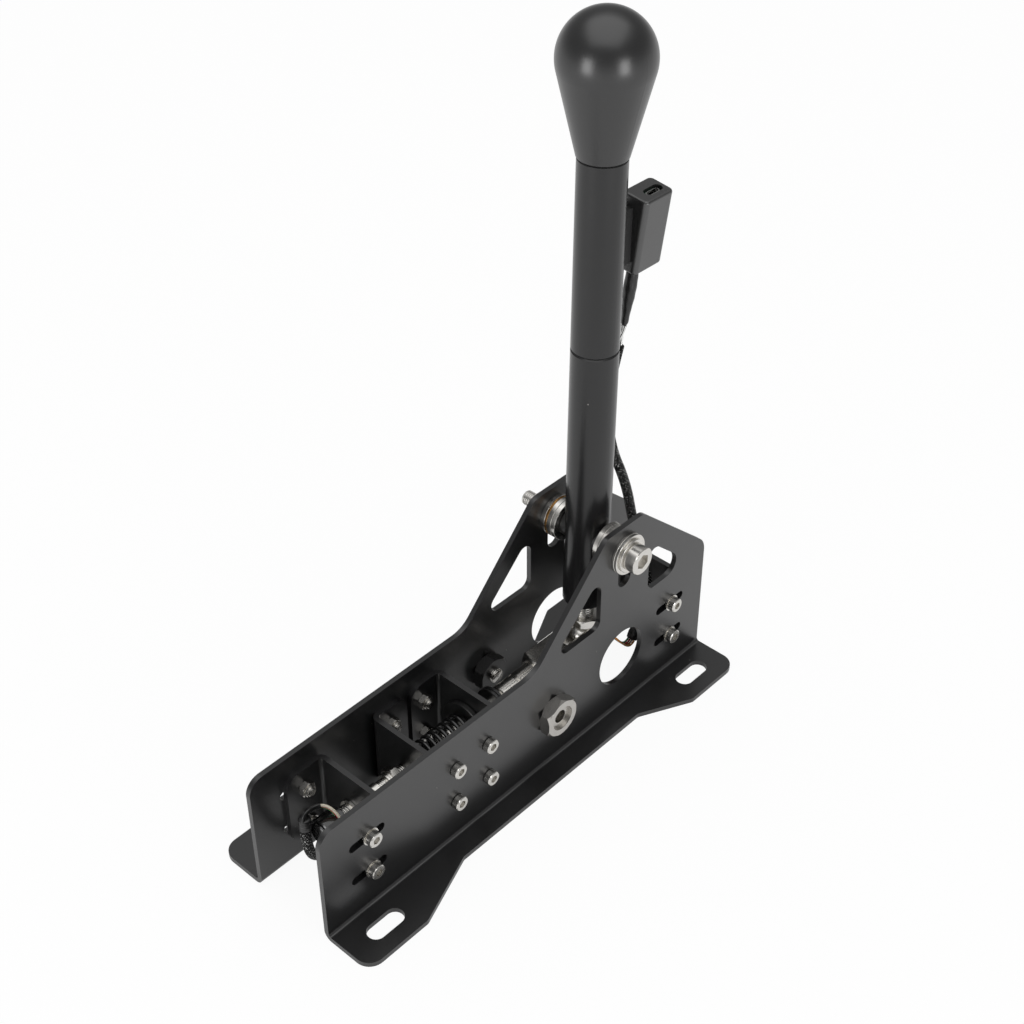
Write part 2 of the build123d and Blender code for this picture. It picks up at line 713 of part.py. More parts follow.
def load_cell_stud():
    """The threaded neck of the load cell and the button that is pressed."""
    neck = on_rod_line(CELL_REAR, disc(CELL_STUD_D, CELL_STUD_END - CELL_REAR, 0, 0.6))
    button = on_rod_line(CELL_STUD_END, disc(CELL_BUTTON_D, PLUNGER_FRONT - CELL_STUD_END))
    return neck + button


def load_cell_nuts():
    """The washer in front of the web and the nut behind it that clamp the cell's neck."""
    front = on_rod_line(FRONT_WEB - CELL_WASHER_T, disc(CELL_WASHER_D, CELL_WASHER_T, CELL_STUD_D, 0.2))
    rear = on_rod_line(FRONT_WEB + BRACKET_T, hex_nut(CELL_NUT_AF, CELL_NUT_H, CELL_STUD_D))
    return Compound(children=[front, rear])


def plunger():
    """The stud that carries the spring's front seat and presses on the load cell."""
    head = on_rod_line(PLUNGER_FRONT, disc(PLUNGER_HEAD_D, PLUNGER_HEAD_L, 0, 0.6))
    stem_start = PLUNGER_FRONT + PLUNGER_HEAD_L
    stem = on_rod_line(stem_start, disc(PLUNGER_D, SEAT_FACE - stem_start))
    return head + stem


def plunger_nuts():
    """The two rings and the nut that set the spring's preload."""
    solids = []
    for index in range(2):
        start = PLUNGER_RING_FRONT + index * PLUNGER_RING_T
        solids.append(on_rod_line(start, disc(PLUNGER_RING_D, PLUNGER_RING_T, PLUNGER_D, 0.2)))
    nut_start = PLUNGER_RING_FRONT + 2 * PLUNGER_RING_T
    solids.append(on_rod_line(nut_start, hex_nut(PLUNGER_NUT_AF, PLUNGER_NUT_H, PLUNGER_D)))
    return Compound(children=solids)


def spring_slope():
    """The rise of the spring's helix over one turn, and its angle."""
    helix_l = GUIDE_WEB - STOP_DISC_GAP - STOP_DISC_T - SEAT_FACE - 2 * SPRING_END_BEND_R
    rise = helix_l / SPRING_TURNS
    return rise, math.atan(rise / (math.pi * SPRING_MEAN_D))


def spring_end_hole(way):
    """Where a seat is pierced for the straight end of the spring, on the seat's own axes."""
    sideways = way * SPRING_END_BEND_R * (1 - math.sin(spring_slope()[1]))
    hole = Cylinder(SPRING_WIRE_D / 2 + SPRING_END_CLEARANCE, 6 * SEAT_T)
    return Pos(SPRING_MEAN_D / 2, sideways, 0) * hole


def spring_front_seat():
    """The disc in front of the spring, with a pilot inside the coil."""
    seat = disc(SEAT_D, SEAT_T, PLUNGER_D, 0.4) - spring_end_hole(-1)
    pilot = Pos(0, 0, SEAT_T) * disc(PILOT_D, PILOT_L, 0, 0.6)
    return on_rod_line(SEAT_FACE - SEAT_T, seat + pilot)


def spring_rear_seat():
    """The stop disc behind the spring, which rests on the guide bracket's web."""
    seat = disc(STOP_DISC_D, STOP_DISC_T, ROD_D, 0.4) - spring_end_hole(1)
    pilot = Pos(0, 0, -PILOT_L) * disc(PILOT_D, PILOT_L, ROD_D)
    return on_rod_line(GUIDE_WEB - STOP_DISC_GAP - STOP_DISC_T, seat + pilot)


def biarc(start, start_way, end, end_way):
    """Two arcs that leave start and reach end along the given ways and meet without a corner."""
    chord = end - start
    ways = start_way + end_way
    square = 2 * (1 - start_way.dot(end_way))
    forward = chord.dot(ways)
    reach = (math.sqrt(forward**2 + square * chord.dot(chord)) - forward) / square
    meeting = ((start + start_way * reach) + (end - end_way * reach)) * 0.5
    first = Edge.make_tangent_arc(start, start_way, meeting)
    return [first, Edge.make_tangent_arc(meeting, first % 1, end)]


def spring_wire():
    """The spring's route on its own Z axis: a helix, with a bend and a straight end at each seat."""
    radius = SPRING_MEAN_D / 2
    rise, slope = spring_slope()
    up = Vector(0, 0, 1)

    def helix_point(quarter):
        turn = quarter * math.pi / 2
        height = SPRING_END_BEND_R + rise * quarter / 4
        return Vector(radius * math.cos(turn), radius * math.sin(turn), height)

    def helix_way(quarter):
        turn = quarter * math.pi / 2
        level = math.cos(slope)
        return Vector(-level * math.sin(turn), level * math.cos(turn), math.sin(slope))

    quarters = 4 * SPRING_TURNS
    bend = Vector(0, SPRING_END_BEND_R * (1 - math.sin(slope)), SPRING_END_BEND_R * math.cos(slope))
    first, last = helix_point(0), helix_point(quarters)
    low, high = first - bend, last + bend
    end_of_wire = last.Z + SPRING_END_BEND_R + SPRING_WIRE_D
    edges = [Edge.make_line(Vector(low.X, low.Y, -SPRING_WIRE_D), low)]
    edges.append(Edge.make_tangent_arc(low, up, first))
    for quarter in range(0, quarters):
        here, there = helix_point(quarter), helix_point(quarter + 1)
        edges += biarc(here, helix_way(quarter), there, helix_way(quarter + 1))
    edges.append(Edge.make_tangent_arc(last, helix_way(quarters), high))
    edges.append(Edge.make_line(high, Vector(high.X, high.Y, end_of_wire)))
    return Wire(edges)


def report_least_gap(wire, diameter):
    """Prints how near the wound wire comes to itself, measured on points along it."""
    count = 40 * SPRING_TURNS
    points = [wire @ (index / count) for index in range(count + 1)]
    apart = round(0.6 * math.pi * SPRING_MEAN_D / (wire.length / count))
    pairs = ((a, b) for a in range(count + 1) for b in range(a + apart, count + 1))
    nearest = min((points[a] - points[b]).length for a, b in pairs)
    print(f"spring: least gap to itself {nearest - diameter:.2f}")


def main_spring():
    """The compression spring, one unbroken round wire."""
    wire = spring_wire()
    report_least_gap(wire, SPRING_WIRE_D)
    start = Plane(origin=wire @ 0, z_dir=wire % 0)
    return on_rod_line(SEAT_FACE, sweep(start * Circle(SPRING_WIRE_D / 2), path=wire))


def lever_piece(z, solid):
    """Puts a piece built on its own Z axis on the lever's axis, at a height of the upright lever."""
    return LEVER_PLACE * Pos(0, 0, z - PIVOT_Z) * solid


def tube(low_z, high_z):
    """A length of the lever's tube with both ends broken."""
    length = high_z - low_z
    return lever_piece(low_z, disc(TUBE_D, length, TUBE_D - 2 * TUBE_WALL, TUBE_CHAMFER))


def lever_lower_tube():
    """The lower tube, bored across for the pivot bush."""
    cross_bore = facing(0, PIVOT_Y, PIVOT_Z, (1, 0, 0)) * Cylinder(BUSH_D / 2 + PART_FIT, 2 * TUBE_D)
    return tube(TUBE_BOTTOM_Z, TUBE_JOINT_Z) - cross_bore


def lever_upper_tube():
    """The upper tube, which carries the knob and the control box."""
    return tube(TUBE_JOINT_Z, TUBE_TOP_Z)


def joining_sleeve():
    """The sleeve inside both tubes at their joint."""
    diameter = TUBE_D - 2 * TUBE_WALL - 2 * PART_FIT
    return lever_piece(TUBE_JOINT_Z - SLEEVE_L / 2, disc(diameter, SLEEVE_L, diameter - 2 * TUBE_WALL, 0.5))


def tube_top_plug():
    """The plug in the tube's top and the stud that the knob screws onto."""
    diameter = TUBE_D - 2 * TUBE_WALL - 2 * PART_FIT
    plug = disc(diameter, PLUG_L)
    stud = Pos(0, 0, PLUG_L) * disc(KNOB_STUD_D, KNOB_STUD_L, 0)
    return lever_piece(TUBE_TOP_Z - PLUG_L, plug + stud)


def knob():
    """The turned knob: a cone that runs smoothly into a ball, bored for its stud."""
    ball_r = KNOB_D / 2
    neck_r = KNOB_NECK_D / 2
    ball_z = KNOB_H - ball_r
    reach = math.hypot(neck_r, ball_z)
    lean = math.acos(ball_r / reach) + math.atan2(-ball_z, neck_r)
    touch = (ball_r * math.cos(lean), ball_z + ball_r * math.sin(lean))
    outline = [
        Line((0, 0), (neck_r - KNOB_EDGE, 0)),
        Line((neck_r - KNOB_EDGE, 0), (neck_r, KNOB_EDGE)),
        Line((neck_r, KNOB_EDGE), touch),
        ThreePointArc(touch, (ball_r, ball_z), (0, KNOB_H)),
        Line((0, KNOB_H), (0, 0)),
    ]
    body = revolve(Plane.XZ * make_face(Wire([edge for line in outline for edge in line.edges()])), Axis.Z)
    bore = Cylinder(KNOB_STUD_D / 2 + PART_FIT, 2 * (KNOB_STUD_L + 1))
    return lever_piece(TUBE_TOP_Z, body - bore)


def pivot_bush():
    """The bush across the lever that turns on the shoulder screw."""
    length = TUBE_D + 2 * BUSH_STICK_OUT
    bush = disc(BUSH_D, length, SHOULDER_D + 2 * RUNNING_FIT, 0.4)
    return facing(-length / 2, PIVOT_Y, PIVOT_Z, (1, 0, 0)) * bush


def lever_bottom_plug():
    """The threaded plug in the tube's lower end."""
    diameter = TUBE_D - 2 * TUBE_WALL - 2 * PART_FIT
    return lever_piece(TUBE_BOTTOM_Z, disc(diameter, PLUG_L, ROD_D, 0.4))


def eye_stud():
    """The threaded eye below the lever, where the push rod's fork is pinned."""
    eye_z = PIVOT_Z - (PIVOT_Z - ROD_Z) / math.cos(math.radians(LEVER_TILT))
    ball = Sphere(EYE_D / 2) & facing(-EYE_T / 2, 0, 0, (1, 0, 0)) * disc(EYE_D, EYE_T)
    shank = disc(ROD_D, TUBE_BOTTOM_Z + PLUG_L - 1 - eye_z)
    bore = facing(0, 0, 0, (1, 0, 0)) * Cylinder(PIN_D / 2 + RUNNING_FIT, 2 * EYE_T)
    return lever_piece(eye_z, ball + shank - bore)


def eye_jam_nut():
    """The nut on the eye's thread, above the swing of the fork."""
    return lever_piece(ROD_Z + EYE_NUT_ABOVE_PIN, hex_nut(EYE_NUT_AF, EYE_NUT_H, ROD_D))


def push_rod():
    """The rod from inside the spring to the fork."""
    rod_end = PIN_Y + PLATE_HALF_L - FORK_SLOT_DEPTH - 4
    return on_rod_line(ROD_TIP, disc(ROD_D, rod_end - ROD_TIP, 0, 1.0))


def fork_head():
    """The fork at the rod's rear end: a round neck, a square block and two cheeks."""
    total = FORK_L + FORK_END_L
    block = Pos(0, 0, FORK_NECK_L) * extrude(Rectangle(FORK_W, FORK_W), total - FORK_NECK_L)
    wide_r = FORK_NECK_D / 2 + total * FORK_FLARE
    flare = Cone(FORK_NECK_D / 2, wide_r, total, align=(Align.CENTER, Align.CENTER, Align.MIN))
    block &= Pos(0, 0, FORK_NECK_L - 1) * flare
    block = chamfer(block.edges().filter_by(Axis.Z).sort_by(Edge.length)[-4:], FORK_EDGE)
    neck = disc(FORK_NECK_D, FORK_NECK_L + 2, 0, 0.5)
    slot = Pos(0, 0, FORK_L - FORK_SLOT_DEPTH + total / 2) * Box(2 * FORK_W, FORK_SLOT_W, total)
    rod_bore = Cylinder(ROD_D / 2, 2 * (FORK_L - FORK_SLOT_DEPTH))
    pin_bore = Pos(0, 0, FORK_L) * Rot(90, 0, 0) * Cylinder(PIN_D / 2, 2 * FORK_W)
    fork = block + neck - slot - rod_bore - pin_bore
    return on_rod_line(PIN_Y + PLATE_HALF_L - FORK_L, fork)


def fork_jam_nut():
    """The long round nut that locks the fork on the rod, with a narrow neck against the fork."""
    neck_start = PIN_Y + PLATE_HALF_L - FORK_L - LOCK_NUT_NECK_L
    body = on_rod_line(neck_start - LOCK_NUT_L, disc(LOCK_NUT_D, LOCK_NUT_L, ROD_D, 0.4))
    return body + on_rod_line(neck_start, disc(LOCK_NUT_NECK_D, LOCK_NUT_NECK_L, ROD_D))


def rod_collars():
    """The two rings behind the guide web that stop the lever's travel."""
    rings = [
        on_rod_line(COLLAR_FRONT + index * (COLLAR_T + 0.3), disc(COLLAR_D, COLLAR_T, ROD_D, 0.3))
        for index in range(2)
    ]
    return Compound(children=rings)


def fork_pin():
    """The headed pin across the fork, held by a clip in its groove."""
    length = FORK_W + CLIP_T + PIN_TAIL
    pin = disc(PIN_D, length, 0, 0.4) + Pos(0, 0, -PIN_HEAD_H) * disc(PIN_HEAD_D, PIN_HEAD_H, 0, 0.3)
    return facing(FORK_W / 2, PIN_Y, ROD_Z, (-1, 0, 0)) * pin


def fork_pin_clip():
    """The clip on the pin's far end."""
    return facing(-FORK_W / 2, PIN_Y, ROD_Z, (-1, 0, 0)) * disc(CLIP_D, CLIP_T, PIN_D, 0.2)


def box_piece(low_z, solid):
    """Puts a piece built on its own Z axis on the control box's axis, which leans to one side."""
    middle_z = BOX_LOW_Z + BOX_H / 2
    leaning = Rot(0, BOX_SIDE_LEAN, 0) * Pos(0, 0, low_z - middle_z) * solid
    return lever_piece(middle_z, Pos(BOX_SIDE_SHIFT, BOX_FROM_AXIS + BOX_DEPTH / 2, 0) * leaning)


def box_shell():
    """The open housing of the control box."""
    outer = extrude(RectangleRounded(BOX_W, BOX_DEPTH, BOX_CORNER_R), BOX_H - BOX_LID_T)
    outer = fillet(outer.faces().sort_by(Axis.Z)[0].edges(), BOX_EDGE_R)
    inner_r = BOX_CORNER_R - BOX_WALL
    inside = RectangleRounded(BOX_W - 2 * BOX_WALL, BOX_DEPTH - 2 * BOX_WALL, inner_r)
    hollow = Pos(0, 0, BOX_WALL) * extrude(inside, BOX_H)
    return box_piece(BOX_LOW_Z, outer - hollow)


def box_lid():
    """The lid of the control box, with the opening above the port."""
    lid = extrude(RectangleRounded(BOX_W, BOX_DEPTH, BOX_CORNER_R), BOX_LID_T)
    lid = fillet(lid.faces().sort_by(Axis.Z)[-1].edges(), BOX_EDGE_R)
    recess = extrude(SlotOverall(PORT_RECESS_W, PORT_RECESS_T), 2 * BOX_LID_T, both=True)
    lid -= Pos(PORT_SIDE, PORT_REAR, 0) * Rot(0, 0, 90) * recess
    return box_piece(BOX_LOW_Z + BOX_H - BOX_LID_T, lid)


def usb_port():
    """The metal shell of the port, with its tongue."""
    outer = extrude(SlotOverall(PORT_W, PORT_T), PORT_L)
    inside = SlotOverall(PORT_W - 2 * PORT_WALL, PORT_T - 2 * PORT_WALL)
    mouth = Pos(0, 0, PORT_WALL) * extrude(inside, PORT_L)
    tongue = Pos(0, 0, PORT_WALL) * extrude(Rectangle(PORT_W * 0.72, 0.7), PORT_L * 0.7)
    top = BOX_LOW_Z + BOX_H - PORT_SUNK
    shell = Pos(PORT_SIDE, PORT_REAR, 0) * Rot(0, 0, 90) * (outer - mouth + tongue)
    return box_piece(top - PORT_L, shell)


def circuit_board():
    """The board inside the control box, upright behind the port."""
    height = BOX_H - BOX_LID_T - BOX_WALL - 0.5
    side = PORT_T / 2 + BOARD_T / 2
    board = Pos(PORT_SIDE - side, 0, height / 2) * Box(BOARD_T, BOX_DEPTH - 2 * BOX_WALL - 1, height)
    return box_piece(BOX_LOW_Z + BOX_WALL, board)


def box_pad():
    """The pad that fills the space between the tube and the control box."""
    depth = BOX_FROM_AXIS
    pad = Pos(PAD_SIDE_SHIFT, depth / 2, 0) * extrude(Rectangle(PAD_W, depth), PAD_H)
    pad -= Cylinder(TUBE_D / 2 + PART_FIT, 3 * PAD_H)
    return lever_piece(BOX_LOW_Z + (BOX_H - PAD_H) / 2, pad)


PIECES = {
    "side_plate_right": lambda: side_plate(1),
    "side_plate_left": lambda: side_plate(-1),
    "bracket_front": bracket_front,
    "bracket_seat": bracket_seat,
    "bracket_guide": bracket_guide,
    "bracket_rear": bracket_rear,
    "bracket_screws": bracket_screws,
    "bracket_nuts": bracket_nuts,
    "slot_washers": slot_washers,
    "pivot_screw": pivot_screw,
    "pivot_outer_washers": pivot_outer_washers,
    "pivot_nut": pivot_nut,
    "pivot_steel_washers": lambda: pivot_inner_washers("steel"),
    "pivot_bronze_washers": lambda: pivot_inner_washers("bronze"),
    "guide_bushings": guide_bushings,
    "guide_locknuts": guide_locknuts,
    "guide_screws": guide_screws,
    "load_cell_body": load_cell_body,
    "load_cell_cap": load_cell_cap,
    "load_cell_stud": load_cell_stud,
    "load_cell_nuts": load_cell_nuts,
    "plunger": plunger,
    "plunger_nuts": plunger_nuts,
    "spring_front_seat": spring_front_seat,
    "main_spring": main_spring,
    "cell_wires": lambda: wire_row("cell wire", CELL_WIRES),
    "sensor_cable": lambda: cord("sensor cable", SENSOR_CABLE, SENSOR_CABLE_D),
    "sensor_boots": sensor_boots,
    "splice_wires": lambda: wire_row("splice wire", SPLICE_WIRES),
    "lead_lower": lambda: lead_between("lead lower", 0, LEAD_FREE_LOW_Z),
    "lead_end": lambda: beyond(LEAD[-1], LEAD[-2], 0, LEAD_END_L, LEAD_END_D, LEAD_END_D),
    "lead_bridge": lambda: lead_between("lead bridge", LEAD_FREE_LOW_Z, LEAD_FREE_TOP_Z),
    "lead_upper": lambda: lead_between("lead upper", LEAD_FREE_TOP_Z, BOX_LOW_Z),
    "lead_sleeve": lambda: beyond(LEAD[0], LEAD[1], 0, LEAD_SLEEVE_L, LEAD_SLEEVE_D, LEAD_SLEEVE_D),
    "lead_boot": lead_boot,
    "lever_lower_tube": lever_lower_tube,
    "lever_upper_tube": lever_upper_tube,
    "joining_sleeve": joining_sleeve,
    "tube_top_plug": tube_top_plug,
    "knob": knob,
    "pivot_bush": pivot_bush,
    "lever_bottom_plug": lever_bottom_plug,
    "eye_stud": eye_stud,
    "eye_jam_nut": eye_jam_nut,
    "push_rod": push_rod,
    "fork_head": fork_head,
    "fork_jam_nut": fork_jam_nut,
    "rod_collars": rod_collars,
    "spring_rear_seat": spring_rear_seat,
    "fork_pin": fork_pin,
    "fork_pin_clip": fork_pin_clip,
    "box_shell": box_shell,
    "box_lid": box_lid,
    "usb_port": usb_port,
    "circuit_board": circuit_board,
    "box_pad": box_pad,
}


def main():
    """Builds every piece and writes it to its own file."""
    os.makedirs("parts", exist_ok=True)
    for name, build in PIECES.items():
        export_step(build(), f"parts/{name}.step")


main()
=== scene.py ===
"""Dresses the solids of a sim racing handbrake and sets it in a plain studio.

Every length is in metres, in the frame of the solids: +X towards the near plate, +Y towards the lever,
+Z up, with the origin on the floor between the four foot slots.
"""

from __future__ import annotations

import logging
import math
from dataclasses import dataclass
from enum import Enum

import bpy
import numpy as np
from mathutils import Matrix, Vector


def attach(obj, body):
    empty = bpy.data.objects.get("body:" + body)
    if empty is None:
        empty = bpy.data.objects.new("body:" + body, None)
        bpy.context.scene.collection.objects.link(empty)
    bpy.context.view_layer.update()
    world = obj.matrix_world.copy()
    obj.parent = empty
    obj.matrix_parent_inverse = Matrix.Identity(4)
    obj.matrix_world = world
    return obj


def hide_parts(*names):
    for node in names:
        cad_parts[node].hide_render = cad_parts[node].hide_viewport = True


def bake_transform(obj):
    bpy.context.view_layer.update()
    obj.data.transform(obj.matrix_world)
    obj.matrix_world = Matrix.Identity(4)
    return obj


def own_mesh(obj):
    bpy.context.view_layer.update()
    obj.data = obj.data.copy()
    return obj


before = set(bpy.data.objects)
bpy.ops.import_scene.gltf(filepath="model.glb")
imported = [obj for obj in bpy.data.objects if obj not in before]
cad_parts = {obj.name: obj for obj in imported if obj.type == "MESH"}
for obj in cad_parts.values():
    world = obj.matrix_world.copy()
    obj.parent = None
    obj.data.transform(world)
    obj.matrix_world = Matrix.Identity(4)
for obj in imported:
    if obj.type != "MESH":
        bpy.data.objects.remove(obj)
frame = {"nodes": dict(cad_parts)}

log = logging.getLogger("handbrake")

Colour = tuple[float, float, float]
Point = tuple[float, float, float]

ACROSS = (1.0, 0.0, 0.0)
ALONG = (0.0, 1.0, 0.0)
DIAGONAL = (0.7071, 0.7071, 0.0)
FULL_TURN = 2 * math.pi
QUAD_CORNERS = 4
SPLINE_STEPS = 16
WRINKLE_WAVES = ((2, 9, 1.0), (3, -17, 2.1), (5, 31, 3.7))
SLEEVE_ROWS = 40
SLEEVE_SIDES = 36
SLEEVE_WRINKLE = 0.045
SLEEVE_EDGE_POWER = 20
SLEEVE_EDGE_LEAST = 0.35


class Pattern(Enum):
    """What the surface of a finish shows close up."""

    GRAIN = "fine even grain"
    TURNED = "fine lines from turning"
    BRAID = "crossed strands"


@dataclass(frozen=True)
class Finish:
    """One finish: its colour, gloss, relief and dust."""

    name: str
    colour: Colour
    roughness: float
    metallic: float = 0.0
    pattern: Pattern = Pattern.GRAIN
    scale: float = 900.0
    relief: float = 0.1
    unevenness: float = 0.08
    dust: float = 0.0
    ior: float = 1.5


POWDER_COAT = Finish(
    "satin_powder_coat", (0.005, 0.005, 0.0053), 0.3, scale=1100.0, relief=0.1, dust=0.8, ior=1.69
)
ANODISED = Finish(
    "satin_anodised_tube", (0.008, 0.008, 0.0083), 0.25, scale=3000.0, relief=0.04, dust=0.5, ior=1.51
)
KNOB_COAT = Finish(
    "matt_anodised_knob", (0.007, 0.007, 0.0073), 0.29, scale=2400.0, relief=0.05, dust=0.3, ior=1.68
)
STAINLESS = Finish("turned_stainless", (0.6, 0.585, 0.555), 0.24, 1.0, Pattern.TURNED, 2600.0, 0.02, 0.06)
HEXAGON_STEEL = Finish(
    "milled_stainless", (0.46, 0.445, 0.42), 0.25, 1.0, Pattern.TURNED, 2600.0, 0.05, 0.06
)
BRONZE = Finish("plain_bronze", (0.42, 0.23, 0.085), 0.27, 1.0, Pattern.TURNED, 2200.0, 0.08, 0.12)
BLACK_OXIDE = Finish("black_oxide", (0.008, 0.008, 0.008), 0.3, scale=2000.0, relief=0.06, ior=1.6)
GLOSS_BLACK = Finish("glossy_black_cap", (0.006, 0.006, 0.006), 0.14, scale=2000.0, relief=0.03, ior=1.65)
SPRING_COAT = Finish("black_spring_coat", (0.007, 0.007, 0.007), 0.2, scale=1500.0, relief=0.04, ior=1.6)
MOULDED = Finish(
    "moulded_black_plastic", (0.009, 0.009, 0.009), 0.36, scale=3500.0, relief=0.15, dust=0.25, ior=1.92
)
FOAM = Finish("black_foam_pad", (0.01, 0.01, 0.01), 0.75, scale=1800.0, relief=0.4)
PLATED = Finish("plated_sheet_steel", (0.5, 0.5, 0.49), 0.24, 1.0, scale=2500.0, relief=0.05)
SHRINK = Finish("black_shrink_sleeve", (0.01, 0.01, 0.01), 0.34, scale=900.0, relief=0.2)
BARE_STRANDS = Finish("silvered_bare_strands", (0.6, 0.6, 0.59), 0.22, 1.0, scale=2500.0, relief=0.1)
# Black braid whose raised strand tops carry painted glints: pale grey spots that stand in for sheen.
BRAID = Finish(
    "black_braid_painted_glints", (0.006, 0.006, 0.006), 0.5, pattern=Pattern.BRAID, relief=0.8, ior=1.22
)
BOARD = Finish("green_board", (0.02, 0.12, 0.06), 0.4)
WIRE_CREAM = Finish("cream_wire", (0.46, 0.42, 0.34), 0.35, relief=0.03)
WIRE_RED = Finish("red_wire", (0.32, 0.02, 0.03), 0.35, relief=0.03)
WIRE_GREEN = Finish("green_wire", (0.03, 0.2, 0.07), 0.35, relief=0.03)
WIRE_ORANGE = Finish("orange_wire", (0.5, 0.2, 0.04), 0.35, relief=0.03)
WIRE_BROWN = Finish("brown_wire", (0.16, 0.07, 0.03), 0.35, relief=0.03)


class Graph:
    """A node tree that is filled in node by node."""

    def __init__(self, tree: bpy.types.NodeTree) -> None:
        """Keeps the tree that the nodes go into."""
        self.tree = tree

    def add(self, kind: str, inputs: dict | None = None, **settings: object) -> bpy.types.Node:
        """Adds a node.

        Args:
            kind: Blender's name for the node.
            inputs: A value or an output socket for each named or numbered input.
            **settings: The node's own properties.

        Returns:
            The new node.
        """
        node = self.tree.nodes.new(kind)
        for key, value in settings.items():
            setattr(node, key, value)
        for key, value in (inputs or {}).items():
            if isinstance(value, bpy.types.NodeSocket):
                self.tree.links.new(value, node.inputs[key])
            else:
                node.inputs[key].default_value = value
        return node

    def math(self, operation: str, *values: object) -> bpy.types.NodeSocket:
        """Adds a Math node with up to three values or sockets and returns its result."""
        return self.add("ShaderNodeMath", dict(enumerate(values)), operation=operation).outputs[0]

    def blend(self, share: object, low: object, high: object) -> bpy.types.NodeSocket:
        """Adds a Mix node for colours and returns its result."""
        inputs = {"Factor": share, 6: low, 7: high}
        return self.add("ShaderNodeMix", inputs, data_type="RGBA").outputs[2]


